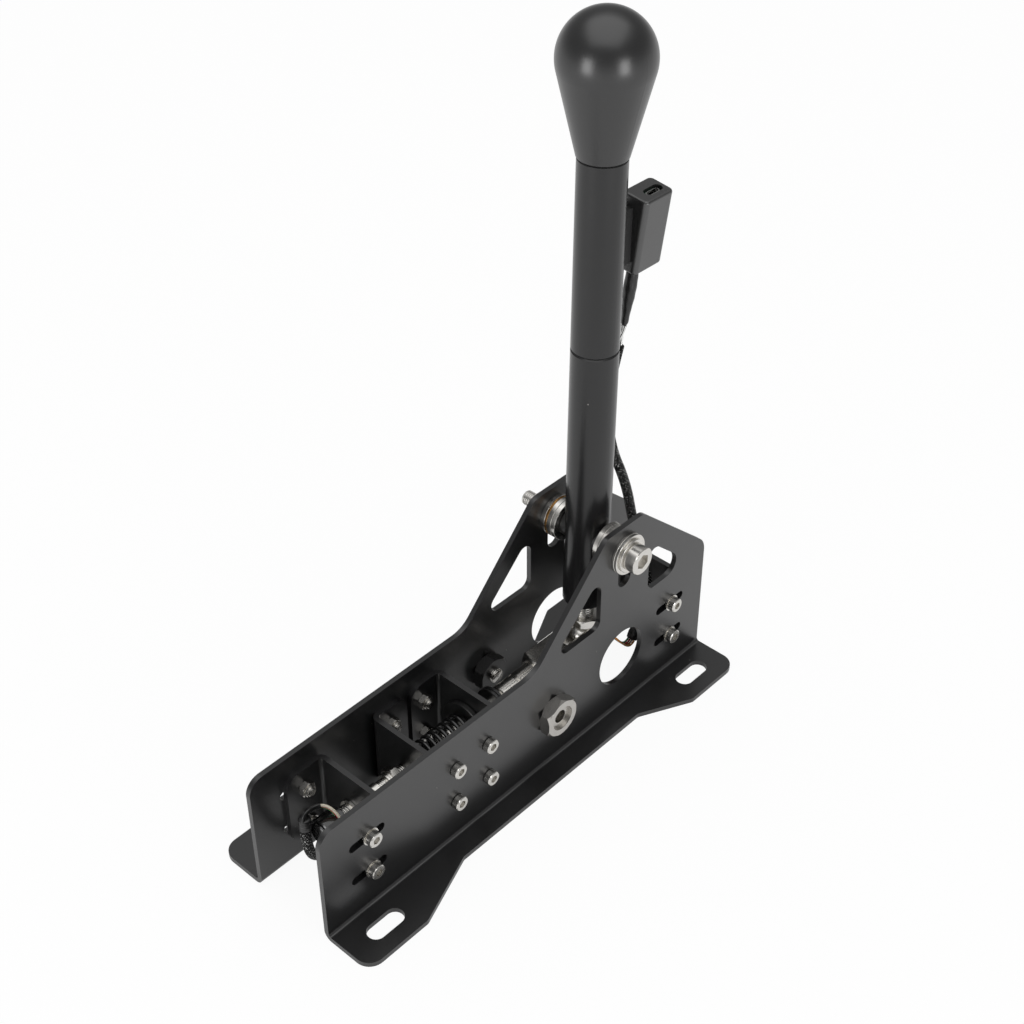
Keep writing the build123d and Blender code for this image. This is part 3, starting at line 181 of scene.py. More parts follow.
class SurfaceGroups:
    """The effects that several materials share, each built once as a node group."""

    MOTTLE_SCALE = 38.0
    METAL_MOTTLE_SCALE = 210.0
    LINE_SCALES = (1.0, 0.6, 0.08)
    DUST_CELL_SCALE = 105.0
    DUST_EDGE_SCALE = 900.0
    # Scale and threshold of the painted glints on the braid's raised strands.
    PAINTED_GLINT_SCALE = 2.0
    PAINTED_GLINT_LEVEL = 0.57
    STRAND_TOP = 0.7

    def __init__(self) -> None:
        """Builds the groups."""
        self.grain = self._grain()
        self.lines = self._lines()
        self.dust = self._dust()
        self.braid = self._braid()

    def _group(self, name: str, inputs: dict[str, float], outputs: list[str]) -> tuple[Graph, dict]:
        """Starts a group with number sockets.

        Args:
            name: The group's name.
            inputs: The inputs and their starting values.
            outputs: The names of its outputs.

        Returns:
            The group's graph, and its input sockets by name.
        """
        tree = bpy.data.node_groups.new(name, "ShaderNodeTree")
        for key, value in inputs.items():
            socket = tree.interface.new_socket(key, in_out="INPUT", socket_type="NodeSocketFloat")
            socket.default_value = value
        for key in outputs:
            tree.interface.new_socket(key, in_out="OUTPUT", socket_type="NodeSocketFloat")
        graph = Graph(tree)
        source = graph.add("NodeGroupInput")
        return graph, {key: source.outputs[key] for key in inputs}

    def _grain(self) -> bpy.types.NodeTree:
        """Even grain: one fine noise for the relief and one coarse noise for the mottling.

        Returns:
            The group's tree, with a height and a mottling.
        """
        graph, source = self._group("fine_grain", {"Scale": 900.0}, ["Height", "Mottle"])
        place = graph.add("ShaderNodeTexCoord").outputs["Object"]
        fine = graph.add("ShaderNodeTexNoise", {"Vector": place, "Scale": source["Scale"], "Detail": 3.0})
        wide = graph.add("ShaderNodeTexNoise", {"Vector": place, "Scale": self.MOTTLE_SCALE, "Detail": 4.0})
        graph.add("NodeGroupOutput", {"Height": fine.outputs[0], "Mottle": wide.outputs[0]})
        return graph.tree

    def _lines(self) -> bpy.types.NodeTree:
        """Turning lines: a noise that is stretched twelvefold along Z and a little along Y.

        Returns:
            The group's tree, with a height and a mottling.
        """
        graph, source = self._group("turning_lines", {"Scale": 2000.0}, ["Height", "Mottle"])
        place = graph.add("ShaderNodeTexCoord").outputs["Object"]
        stretched = graph.add("ShaderNodeMapping", {"Vector": place, "Scale": self.LINE_SCALES}).outputs[0]
        lines = {"Vector": stretched, "Scale": source["Scale"], "Detail": 2.0}
        fine = graph.add("ShaderNodeTexNoise", lines)
        clouds = {"Vector": place, "Scale": self.METAL_MOTTLE_SCALE, "Detail": 3.0}
        wide = graph.add("ShaderNodeTexNoise", clouds)
        graph.add("NodeGroupOutput", {"Height": fine.outputs[0], "Mottle": wide.outputs[0]})
        return graph.tree

    def _dust(self) -> bpy.types.NodeTree:
        """Dust: a small disc in some of the cells of a cell pattern, broken up by noise.

        Returns:
            The group's tree, with a mask that is 1 on a speck.
        """
        graph, source = self._group("dust_specks", {"Amount": 0.5, "Size": 0.065}, ["Mask"])
        place = graph.add("ShaderNodeTexCoord").outputs["Object"]
        cells = graph.add("ShaderNodeTexVoronoi", {"Vector": place, "Scale": self.DUST_CELL_SCALE})
        chance = graph.add("ShaderNodeSeparateColor", {0: cells.outputs["Color"]})
        wobble = graph.add("ShaderNodeTexNoise", {"Vector": place, "Scale": self.DUST_EDGE_SCALE}).outputs[0]
        reach = graph.math("MULTIPLY", graph.math("MULTIPLY", chance.outputs[1], source["Size"]), wobble)
        inside = graph.math("LESS_THAN", cells.outputs["Distance"], reach)
        kept = graph.math("GREATER_THAN", chance.outputs[0], graph.math("SUBTRACT", 1.0, source["Amount"]))
        graph.add("NodeGroupOutput", {"Mask": graph.math("MULTIPLY", inside, kept)})
        return graph.tree

    def _braid(self) -> bpy.types.NodeTree:
        """Braid: two crossed sets of ridges on the cable's own map, and painted glints: pale spots painted
        on the tops of some raised strands.

        Returns:
            The group's tree, with a height and a mask that is 1 on a painted glint.
        """
        graph, source = self._group("cable_braid", {"Strands": 11.0, "Pitch": 370.0}, ["Height", "PaintedGlint"])
        parts = graph.add("ShaderNodeSeparateXYZ", {0: graph.add("ShaderNodeUVMap").outputs[0]})
        around = graph.math("MULTIPLY", parts.outputs[0], source["Strands"])
        along = graph.math("MULTIPLY", parts.outputs[1], source["Pitch"])
        both = graph.math("ADD", around, along)
        left = graph.math("SINE", graph.math("MULTIPLY", both, FULL_TURN))
        right = graph.math("SINE", graph.math("MULTIPLY", graph.math("SUBTRACT", around, along), FULL_TURN))
        height = graph.math("MAXIMUM", left, right)
        cell = graph.add("ShaderNodeCombineXYZ", {0: both, 1: around, 2: along}).outputs[0]
        noise = graph.add("ShaderNodeTexNoise", {"Vector": cell, "Scale": self.PAINTED_GLINT_SCALE, "Detail": 2.0})
        # Painted glints: pale spots where the noise is high, kept to the raised strand tops.
        painted_glint_spots = graph.math("GREATER_THAN", noise.outputs[0], self.PAINTED_GLINT_LEVEL)
        raised = graph.math("GREATER_THAN", height, self.STRAND_TOP)
        graph.add("NodeGroupOutput", {"Height": height, "PaintedGlint": graph.math("MULTIPLY", painted_glint_spots, raised)})
        return graph.tree


class MaterialShelf:
    """Makes each finish's material once and hands it out."""

    BUMP_DEPTH = 0.00012
    BRAID_DEPTH = 0.0004
    BRAID_UNEVENNESS = 0.06
    MOTTLE_TINT = 1.25
    DUST_COLOUR = (0.3, 0.29, 0.27, 1.0)
    # The grey that is painted on the braid as glints on its raised strands.
    PAINTED_GLINT_COLOUR = (0.5, 0.5, 0.49, 1.0)

    def __init__(self) -> None:
        """Builds the shared groups and starts with no materials."""
        self.groups = SurfaceGroups()
        self.made: dict[str, bpy.types.Material] = {}

    def get(self, finish: Finish) -> bpy.types.Material:
        """The material of a finish, made at its first use.

        Args:
            finish: The finish to look up.

        Returns:
            Its material.
        """
        if finish.name not in self.made:
            self.made[finish.name] = self._make(finish)
        return self.made[finish.name]

    def _make(self, finish: Finish) -> bpy.types.Material:
        """Builds one material.

        Args:
            finish: The finish to build.

        Returns:
            A material with a Principled BSDF whose roughness, colour and normal vary over the surface.
        """
        material = bpy.data.materials.new(finish.name)
        material.use_nodes = True
        material.node_tree.nodes.clear()
        graph = Graph(material.node_tree)
        braided = finish.pattern is Pattern.BRAID
        groups = {
            Pattern.GRAIN: self.groups.grain,
            Pattern.TURNED: self.groups.lines,
            Pattern.BRAID: self.groups.braid,
        }
        relief = graph.add("ShaderNodeGroup", node_tree=groups[finish.pattern])
        if not braided:
            relief.inputs["Scale"].default_value = finish.scale
        colour = (*finish.colour, 1.0)
        if braided:
            spread, unevenness = relief.outputs["Height"], self.BRAID_UNEVENNESS
            # Painted glints: pale grey painted on the braid's raised strand tops.
            colour = graph.blend(relief.outputs["PaintedGlint"], colour, self.PAINTED_GLINT_COLOUR)
        else:
            spread, unevenness = relief.outputs["Mottle"], finish.unevenness
            tint = tuple(min(1.0, channel * self.MOTTLE_TINT) for channel in finish.colour) + (1.0,)
            colour = graph.blend(spread, colour, tint)
        least = finish.roughness - finish.unevenness / 2
        roughness = graph.math("MULTIPLY_ADD", spread, unevenness, least)
        if finish.dust > 0:
            dust = graph.add("ShaderNodeGroup", {"Amount": finish.dust}, node_tree=self.groups.dust)
            colour = graph.blend(dust.outputs["Mask"], colour, self.DUST_COLOUR)
        bump = graph.add(
            "ShaderNodeBump",
            {
                "Strength": finish.relief,
                "Distance": self.BRAID_DEPTH if braided else self.BUMP_DEPTH,
                "Height": relief.outputs["Height"],
            },
        )
        shader = graph.add(
            "ShaderNodeBsdfPrincipled",
            {
                "Base Color": colour,
                "Roughness": roughness,
                "Metallic": finish.metallic,
                "IOR": finish.ior,
                "Normal": bump.outputs[0],
            },
        )
        graph.add("ShaderNodeOutputMaterial", {0: shader.outputs[0]})
        return material


def unit(vectors: np.ndarray) -> np.ndarray:
    """Each vector divided by its own length."""
    return vectors / np.linalg.norm(vectors, axis=-1, keepdims=True)


def angles_round(sides: int) -> np.ndarray:
    """Even angles round a circle, in radians, from zero."""
    return np.linspace(0, FULL_TURN, sides, endpoint=False)


def grid_faces(rows: int, columns: int) -> list[tuple[int, ...]]:
    """The faces of a closed tube of rings with a fan at each end.

    Args:
        rows: How many rings there are.
        columns: How many points each ring has.

    Returns:
        The faces, where the two end points follow the rings in the list of points.
    """
    ring = np.arange(columns)
    after = np.roll(ring, -1)
    base = np.arange(rows - 1)[:, None] * columns
    quads = np.stack([base + ring, base + after, base + columns + after, base + columns + ring], axis=-1)
    low = np.stack([np.full(columns, rows * columns), after, ring], axis=-1)
    last = (rows - 1) * columns
    high = np.stack([np.full(columns, rows * columns + 1), last + ring, last + after], axis=-1)
    faces = quads.reshape(-1, QUAD_CORNERS).tolist() + low.tolist() + high.tolist()
    return [tuple(face) for face in faces]


def tube_piece(
    name: str, path: np.ndarray, radii: np.ndarray, sides: int, reference: Point | np.ndarray
) -> bpy.types.Object:
    """A closed tube round a path: point = path + radius x (cos a x side + sin a x other side).

    Args:
        name: The piece's name.
        path: The centre line, one row a point.
        radii: The radius at each point, or at each point and angle.
        sides: How many points each ring has.
        reference: The direction that each ring starts from, or one a point, never along the path.

    Returns:
        The new object, with a map of the share around and the distance along.
    """
    ways = unit(np.gradient(path, axis=0))
    start_way = np.asarray(reference)
    side = unit(start_way - ways * (ways * start_way).sum(axis=1, keepdims=True))
    other = np.cross(ways, side)
    angles = angles_round(sides)
    radii = radii if radii.ndim == 2 else radii[:, None]
    spokes = np.cos(angles)[:, None] * side[:, None] + np.sin(angles)[:, None] * other[:, None]
    rings = path[:, None] + radii[:, :, None] * spokes
    points = np.vstack([rings.reshape(-1, 3), path[:1], path[-1:]])
    mesh = bpy.data.meshes.new(name)
    mesh.from_pydata(points.tolist(), [], grid_faces(len(path), sides))
    steps = np.linalg.norm(np.diff(path, axis=0), axis=1)
    along = np.concatenate([[0.0], np.cumsum(steps)])
    corners = np.empty(len(mesh.loops), dtype=np.int64)
    mesh.loops.foreach_get("vertex_index", corners)
    around_of = np.append(np.tile(np.arange(sides), len(path)), [0, 0]) / sides
    along_of = np.append(np.repeat(along, sides), [0.0, along[-1]])
    places = np.stack([around_of[corners], along_of[corners]], axis=-1)
    number = np.arange(len(corners))
    on_quads = number < QUAD_CORNERS * sides * (len(path) - 1)
    closes_ring = np.isin(number % QUAD_CORNERS, (1, 2)) & (corners % sides == 0)
    places[on_quads & closes_ring, 0] = 1.0
    mesh.uv_layers.new(name="UVMap").data.foreach_set("uv", places.ravel())
    mesh.polygons.foreach_set("use_smooth", np.ones(len(mesh.polygons), dtype=bool))
    mesh.update()
    piece = bpy.data.objects.new(name, mesh)
    bpy.context.scene.collection.objects.link(piece)
    return piece


def smooth_line(points: tuple[Point, ...]) -> np.ndarray:
    """The line of a NURBS spline whose control points are a cord's places.

    Args:
        points: The cord's places, in metres.

    Returns:
        Points along the spline.
    """
    curve = bpy.data.curves.new("route", "CURVE")
    curve.dimensions = "3D"
    curve.resolution_u = SPLINE_STEPS
    spline = curve.splines.new("NURBS")
    spline.points.add(len(points) - 1)
    spline.points.foreach_set("co", np.array([(*point, 1.0) for point in points]).ravel())
    spline.order_u = 3
    spline.use_endpoint_u = True
    holder = bpy.data.objects.new("route", curve)
    line = bpy.data.meshes.new_from_object(holder)
    places = np.empty(3 * len(line.vertices))
    line.vertices.foreach_get("co", places)
    bpy.data.objects.remove(holder)
    bpy.data.meshes.remove(line)
    return places.reshape(-1, 3)


def line_length(path: np.ndarray) -> float:
    """How long a line of points is."""
    return float(np.linalg.norm(np.diff(path, axis=0), axis=1).sum())


def wrinkle(along: np.ndarray, around: np.ndarray, seed: float) -> np.ndarray:
    """Soft wrinkles between -1 and 1: the mean of three waves that run round and along at once."""
    waves = [np.sin(turns * around + rate * along + shift * seed) for turns, rate, shift in WRINKLE_WAVES]
    return sum(waves) / len(waves)


def sleeve_piece(
    name: str, ends: tuple[Point, Point], radii: tuple[float, ...], seed: float
) -> bpy.types.Object:
    """A shrunk sleeve: radius = profile x (1 + wrinkle) x rounded edge, with softly closed ends.

    Args:
        name: The piece's name.
        ends: The centres of its two ends.
        radii: The radii at even steps from the first end to the second.
        seed: A number that sets where its wrinkles lie.

    Returns:
        The new object.
    """
    share = np.linspace(0, 1, SLEEVE_ROWS)
    path = np.array(ends[0]) + share[:, None] * (np.array(ends[1]) - np.array(ends[0]))
    profile = np.interp(share, np.linspace(0, 1, len(radii)), radii)
    relief = 1 + SLEEVE_WRINKLE * wrinkle(share[:, None], angles_round(SLEEVE_SIDES)[None, :], seed)
    rounded = np.sqrt(np.clip(1 - (2 * share - 1) ** SLEEVE_EDGE_POWER, SLEEVE_EDGE_LEAST, 1))
    return tube_piece(name, path, profile[:, None] * relief * rounded[:, None], SLEEVE_SIDES, ACROSS)


def join_pieces(name: str, parts: list[bpy.types.Object]) -> bpy.types.Object:
    """Joins several new pieces into one object.

    Args:
        name: The name of the joined piece.
        parts: The pieces, which are used up.

    Returns:
        The joined piece.
    """
    with bpy.context.temp_override(active_object=parts[0], selected_editable_objects=parts):
        bpy.ops.object.join()
    parts[0].name = name
    parts[0].data.name = name
    return parts[0]


@dataclass(frozen=True)
class CordSpec:
    """A cord: its places, thickness and look."""

    name: str
    route: tuple[Point, ...]
    diameter: float
    finish: Finish
    slot: str
    stiffness: str = "medium"
    reference: Point = ACROSS
    sides: int = 24


class CordMaker:
    """Makes a cord as a mesh tube round its smooth line."""

    def __init__(self, shelf: MaterialShelf) -> None:
        """Keeps the shelf that the finishes come from."""
        self.shelf = shelf

    def make(self, spec: CordSpec) -> bpy.types.Object:
        """Args:
            spec: The cord to build.

        Returns:
            The new object, which rides on nothing yet.
        """
        path = smooth_line(spec.route)
        radii = np.full(len(path), spec.diameter / 2)
        piece = tube_piece(spec.name, path, radii, spec.sides, spec.reference)
        piece.data.materials.append(self.shelf.get(spec.finish))
        log.info("%s is %.4f m long", spec.name, line_length(path))
        return piece


def beside(route: tuple[Point, ...], sideways: float) -> tuple[Point, ...]:
    """A route moved sideways along X at its start, with the shift turned along at each bend.

    Args:
        route: The places of the middle of a row of wires.
        sideways: How far this wire lies from the middle.

    Returns:
        The wire's own places.
    """
    places = [Vector(point) for point in route]
    runs = [(after - here).normalized() for here, after in zip(places, places[1:])]
    shift = Vector((sideways, 0, 0))
    moved = [places[0] + shift]
    for here, run, next_run in zip(places[1:], runs, runs[1:]):
        middle = (run + next_run).normalized()
        moved.append(here + shift - run * (shift.dot(middle) / run.dot(middle)))
        shift -= middle * (2 * shift.dot(middle))
    moved.append(places[-1] + shift)
    return tuple(tuple(place) for place in moved)


@dataclass
class ControlLead:
    """The braided lead from the small box down the back of the lever, with its boot and its end."""

    maker: CordMaker
    diameter: float = 0.0056
    route: tuple[Point, ...] = (
        (-0.001, 0.0985, 0.2235), (-0.0028, 0.0964, 0.209), (-0.0044, 0.095, 0.191),
        (-0.0042, 0.0958, 0.1725), (-0.0028, 0.0996, 0.1535), (-0.001, 0.1054, 0.138),
        (0.0, 0.1104, 0.1215), (0.001, 0.1136, 0.104), (0.0036, 0.1168, 0.087),
        (0.0066, 0.1198, 0.07), (0.0086, 0.122, 0.053), (0.009, 0.1225, 0.0382),
        (0.009, 0.1145, 0.0275),
    )
    free_low: Point = (0.0, 0.1136, 0.106)
    free_high: Point = (0.0, 0.0996, 0.15)
    boot_ends: tuple[Point, Point] = ((0.00016, 0.1004, 0.23536), (0.0006, 0.10517, 0.2668))
    boot_radii: tuple[float, ...] = (0.0019, 0.0021, 0.0026, 0.0031, 0.0034, 0.0033, 0.0032)
    strand_gap: float = 0.0016
    strand_diameter: float = 0.0014
    strand_steps: int = 24
    strand_sides: int = 14
    strand_start: float = 0.4
    tip_ends: tuple[Point, Point] = ((0.009, 0.1145, 0.0275), (0.009, 0.1085, 0.0195))
    tip_radii: tuple[float, ...] = (0.0032, 0.0035, 0.0036, 0.0034, 0.0033)
    boot_seed: float = 0.7
    tip_seed: float = 2.3

    def build(self) -> list[bpy.types.Object]:
        """Builds the lead, its boot, its bare strands and its end sleeve."""
        return [self._lead(), self._boot(), self._strands(), self._end()]

    def _lead(self) -> bpy.types.Object:
        """The braided lead between the frame and the lever.

        Returns:
            The lead.
        """
        piece = self.maker.make(CordSpec("lead", self.route, self.diameter, BRAID, "cable_black"))
        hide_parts("lead_lower", "lead_bridge", "lead_upper")
        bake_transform(piece)
        return piece

    def _boot(self) -> bpy.types.Object:
        """The crumpled boot under the box.

        Returns:
            The boot.
        """
        piece = sleeve_piece("lead_boot_shrunk", self.boot_ends, self.boot_radii, self.boot_seed)
        piece.data.materials.append(self.maker.shelf.get(SHRINK))
        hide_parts("lead_boot")
        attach(piece, "lever")
        return piece

    def _strands(self) -> bpy.types.Object:
        """Two bare strands between the boot and the braid, twisted by half a turn.

        Returns:
            Both strands as one piece.
        """
        start, end = np.array(self.route[0]), np.array(self.boot_ends[0])
        share = np.linspace(0, 1, self.strand_steps)
        middle = start + share[:, None] * (end - start)
        angle = math.pi * share + self.strand_start
        swing = np.stack([np.cos(angle), np.sin(angle), np.zeros_like(angle)], axis=-1)
        radii = np.full(self.strand_steps, self.strand_diameter / 2)
        parts = []
        for side in (-1, 1):
            path = middle + side * self.strand_gap / 2 * swing
            parts.append(tube_piece(f"lead_strand_{side + 2}", path, radii, self.strand_sides, ACROSS))
        piece = join_pieces("lead_strands", parts)
        piece.data.materials.append(self.maker.shelf.get(BARE_STRANDS))
        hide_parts("lead_sleeve")
        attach(piece, "lever")
        return piece

    def _end(self) -> bpy.types.Object:
        """The shrink sleeve at the lead's lower end.

        Returns:
            The sleeve.
        """
        piece = sleeve_piece("lead_end_shrunk", self.tip_ends, self.tip_radii, self.tip_seed)
        piece.data.materials.append(self.maker.shelf.get(SHRINK))
        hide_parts("lead_end")
        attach(piece, "base")
        return piece


@dataclass
class SensorHarness:
    """The wires of the load cell, the cable along the floor and the wires that join it to the lead."""

    maker: CordMaker
    cable_diameter: float = 0.0056
    wire_diameter: float = 0.0012
    wire_spacing: float = 0.0014
    cable_route: tuple[Point, ...] = (
        (-0.006, -0.131, 0.0425), (-0.0063, -0.131, 0.028), (-0.0092, -0.124, 0.0125),
        (-0.0115, -0.107, 0.0046), (-0.0125, -0.083, 0.0036), (-0.011, -0.053, 0.0042),
        (-0.012, -0.019, 0.0035), (-0.011, 0.015, 0.0041), (-0.013, 0.047, 0.0036), (-0.012, 0.075, 0.0046),
    )
    cell_route: tuple[Point, ...] = (
        (0.0042, -0.1163, 0.0418), (0.0041, -0.1166, 0.0452), (0.0034, -0.1172, 0.0485),
        (0.0016, -0.1179, 0.0508), (-0.0006, -0.1187, 0.0524), (-0.0028, -0.12, 0.0531),
        (-0.0046, -0.1217, 0.0532), (-0.0057, -0.1241, 0.0531), (-0.006, -0.1266, 0.0532),
        (-0.00585, -0.1294, 0.0536), (-0.0059, -0.131, 0.0524), (-0.0059, -0.131, 0.0482),
        (-0.006, -0.131, 0.0428),
    )
    splice_route: tuple[Point, ...] = (
        (0.009, 0.1085, 0.0195), (0.009, 0.1067, 0.0182), (0.009, 0.104, 0.0184),
        (0.0089, 0.1012, 0.0205), (0.0087, 0.0984, 0.0238), (0.0083, 0.0953, 0.0278),
        (0.0068, 0.0926, 0.0318), (0.0032, 0.0906, 0.0344), (-0.0016, 0.0898, 0.0344),
        (-0.0058, 0.0902, 0.031), (-0.0086, 0.0914, 0.0254), (-0.0104, 0.0928, 0.018),
        (-0.0114, 0.0934, 0.0114), (-0.0116, 0.0914, 0.007), (-0.0117, 0.0878, 0.0053),
        (-0.01171, 0.0833, 0.00489),
    )
    sleeve_length: float = 0.0085
    sleeve_radii: tuple[float, ...] = (0.0032, 0.0034, 0.0034, 0.0033)
    sleeve_seed: float = 4.1
    wire_sides: int = 12
    wire_sleeve_from: float = -0.1212
    wire_sleeve_half: tuple[float, float] = (0.0032, 0.0013)
    wire_sleeve_wrinkle: float = 0.05
    wire_sleeve_seed: float = 1.3
    cell_finishes: tuple[Finish, ...] = (WIRE_GREEN, WIRE_RED, WIRE_CREAM, WIRE_CREAM)
    splice_finishes: tuple[Finish, ...] = (WIRE_GREEN, WIRE_RED, WIRE_BROWN, WIRE_ORANGE)

    def build(self) -> list[bpy.types.Object]:
        """Builds the cable, its two sleeves and both rows of wires.

        Returns:
            The pieces, in the order that they are made in.
        """
        pieces = [self._cable()]
        pieces += self._sleeves()
        pieces.append(self._wire_sleeve())
        pieces += self._wires("cell_wire", self.cell_route, self.cell_finishes, "cell_wires", ACROSS)
        pieces += self._wires(
            "splice_wire", self.splice_route, self.splice_finishes, "splice_wires", DIAGONAL
        )
        return pieces

    def _cable(self) -> bpy.types.Object:
        """The braided cable between the far plate and the rod.

        Returns:
            The cable.
        """
        spec = CordSpec("sensor_cable_braided", self.cable_route, self.cable_diameter, BRAID, "cable_black")
        piece = self.maker.make(spec)
        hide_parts("sensor_cable")
        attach(piece, "base")
        return piece

    def _sleeves(self) -> list[bpy.types.Object]:
        """The shrink sleeve at each end of the cable, in line with the cable's end run.

        Returns:
            Both sleeves.
        """
        pieces = []
        first, second, *_, last_but_one, last = self.cable_route
        for index, (end, inside) in enumerate([(first, second), (last, last_but_one)]):
            way = (Vector(end) - Vector(inside)).normalized()
            ends = (end, tuple(Vector(end) + way * self.sleeve_length))
            seed = index + self.sleeve_seed
            piece = sleeve_piece(f"sensor_sleeve_{index + 1}", ends, self.sleeve_radii, seed)
            piece.data.materials.append(self.maker.shelf.get(SHRINK))
            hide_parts("sensor_boots")
            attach(piece, "base")
            pieces.append(piece)
        return pieces

    def _wire_sleeve(self) -> bpy.types.Object:
        """The flat black sleeve over the front of the cell's wires: an oval tube as wide as their row.

        Returns:
            The sleeve.
        """
        shifts = (-self.wire_spacing, self.wire_spacing)
        low, high = (smooth_line(beside(self.cell_route, sideways)) for sideways in shifts)
        path, row_way = (low + high) / 2, high - low
        covered = path[:, 1] < self.wire_sleeve_from
        path, row_way = path[covered], row_way[covered]
        share = np.linspace(0, 1, len(path))[:, None]
        angles = angles_round(SLEEVE_SIDES)[None, :]
        half_width, half_height = self.wire_sleeve_half
        oval = 1 / np.hypot(np.cos(angles) / half_width, np.sin(angles) / half_height)
        relief = 1 + self.wire_sleeve_wrinkle * wrinkle(share, angles, self.wire_sleeve_seed)
        piece = tube_piece("wire_sleeve", path, oval * relief, SLEEVE_SIDES, row_way)
        piece.data.materials.append(self.maker.shelf.get(SHRINK))
        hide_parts("cell_wires")
        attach(piece, "base")
        return piece

    def _wires(
        self, name: str, route: tuple[Point, ...], finishes: tuple[Finish, ...], node: str, reference: Point
    ) -> list[bpy.types.Object]:
        """A row of thin wires, one colour each.

        Args:
            name: What the wires are called, before their number.
            route: The places of the middle of the row.
            finishes: One finish a wire, from the low X side.
            node: The solid that the row stands for.
            reference: A direction that no wire runs along.

        Returns:
            The wires.
        """
        pieces = []
        for index, finish in enumerate(finishes):
            sideways = (index - (len(finishes) - 1) / 2) * self.wire_spacing
            spec = CordSpec(
                f"{name}_{index + 1}", beside(route, sideways), self.wire_diameter, finish, "wire_colours",
                stiffness="limp", reference=reference, sides=self.wire_sides,
            )
            piece = self.maker.make(spec)
            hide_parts(node)
            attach(piece, "base")
            pieces.append(piece)
        return pieces


@dataclass
class ReturnSpring:
    """The coil spring between its two seats, closed at both ends."""

    shelf: MaterialShelf
    front: float = -0.061
    rear: float = -0.0236
    height: float = 0.0395
    mean_radius: float = 0.008
    wire_radius: float = 0.0011
    turns: float = 9.0
    closed_turns: float = 0.8
    open_from: float = 0.6
    opening: float = 0.8
    open_gap: float = 0.00205
    steps: int = 640
    sides: int = 16
    rest_to_pressed: float = 0.585

    def build(self) -> bpy.types.Object:
        """Builds the wire round its helix: the rise per turn grows smoothly from a closed end.

        Returns:
            The spring.
        """
        turn = np.linspace(0, 1, self.steps) * self.turns
        near_end = np.minimum(turn, self.turns - turn) / self.closed_turns
        ease = np.clip(near_end - self.open_from, 0, self.opening) / self.opening
        rate = 2 * self.wire_radius + self.open_gap * ease * ease * (3 - 2 * ease)
        rise = np.concatenate([[0.0], np.cumsum((rate[1:] + rate[:-1]) / 2 * np.diff(turn))])
        room = self.rear - self.front - 2 * self.wire_radius
        along = self.front + self.wire_radius + rise * room / rise[-1]
        angle = FULL_TURN * turn
        across, up = self.mean_radius * np.cos(angle), self.height + self.mean_radius * np.sin(angle)
        path = np.stack([across, along, up], axis=-1)
        radii = np.full(len(path), self.wire_radius)
        piece = tube_piece("coil_spring", path, radii, self.sides, ALONG)
        piece.data.materials.append(self.shelf.get(SPRING_COAT))
        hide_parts("main_spring")
        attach(piece, "base")
        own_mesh(piece)
        return piece


@dataclass(frozen=True)
class ThreadSpec:
    """A stretch of screw thread that shows on a plain shank."""

    name: str
    body: str
    start: Point
    way: Point
    length: float
    radius: float
    pitch: float


class ThreadCutter:
    """Makes screw threads that stand on the plain shanks of the studs and screws."""

    ROOT_LIFT = 0.00004
    SIDES = 40
    ROWS_PER_PITCH = 8
    DEPTH_SHARE = 0.3
    RIDGE_TOP = 1.4
    RIDGE_SLOPE = 2.2
    RUN_OUT_PITCHES = 0.5

    def __init__(self, shelf: MaterialShelf) -> None:
        """Keeps the shelf that the finish comes from."""
        self.shelf = shelf

    def build(self, spec: ThreadSpec) -> bpy.types.Object:
        """Builds one thread: radius = root + depth x ridge(distance / pitch - angle / turn).

        Args:
            spec: The stretch of thread.

        Returns:
            The new object.
        """
        rows = int(spec.length / spec.pitch * self.ROWS_PER_PITCH) + 1
        along = np.linspace(0, spec.length, rows)
        path = np.array(spec.start) + along[:, None] * np.array(spec.way)
        phase = (along[:, None] / spec.pitch - angles_round(self.SIDES)[None, :] / FULL_TURN) % 1.0
        ridge = np.clip(self.RIDGE_TOP - np.abs(2 * phase - 1) * self.RIDGE_SLOPE, 0.0, 1.0)
        from_end = np.minimum(along, spec.length - along)
        run_out = np.clip(from_end / (self.RUN_OUT_PITCHES * spec.pitch), 0.0, 1.0)
        depth = self.DEPTH_SHARE * spec.pitch
        radii = spec.radius + self.ROOT_LIFT + depth * ridge * run_out[:, None]
        radii[[0, -1]] = spec.radius - self.ROOT_LIFT
        reference = ALONG if abs(spec.way[0]) == 1 else ACROSS
        piece = tube_piece(spec.name, path, radii, self.SIDES, reference)
        piece.data.materials.append(self.shelf.get(STAINLESS))
        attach(piece, spec.body)
        return piece


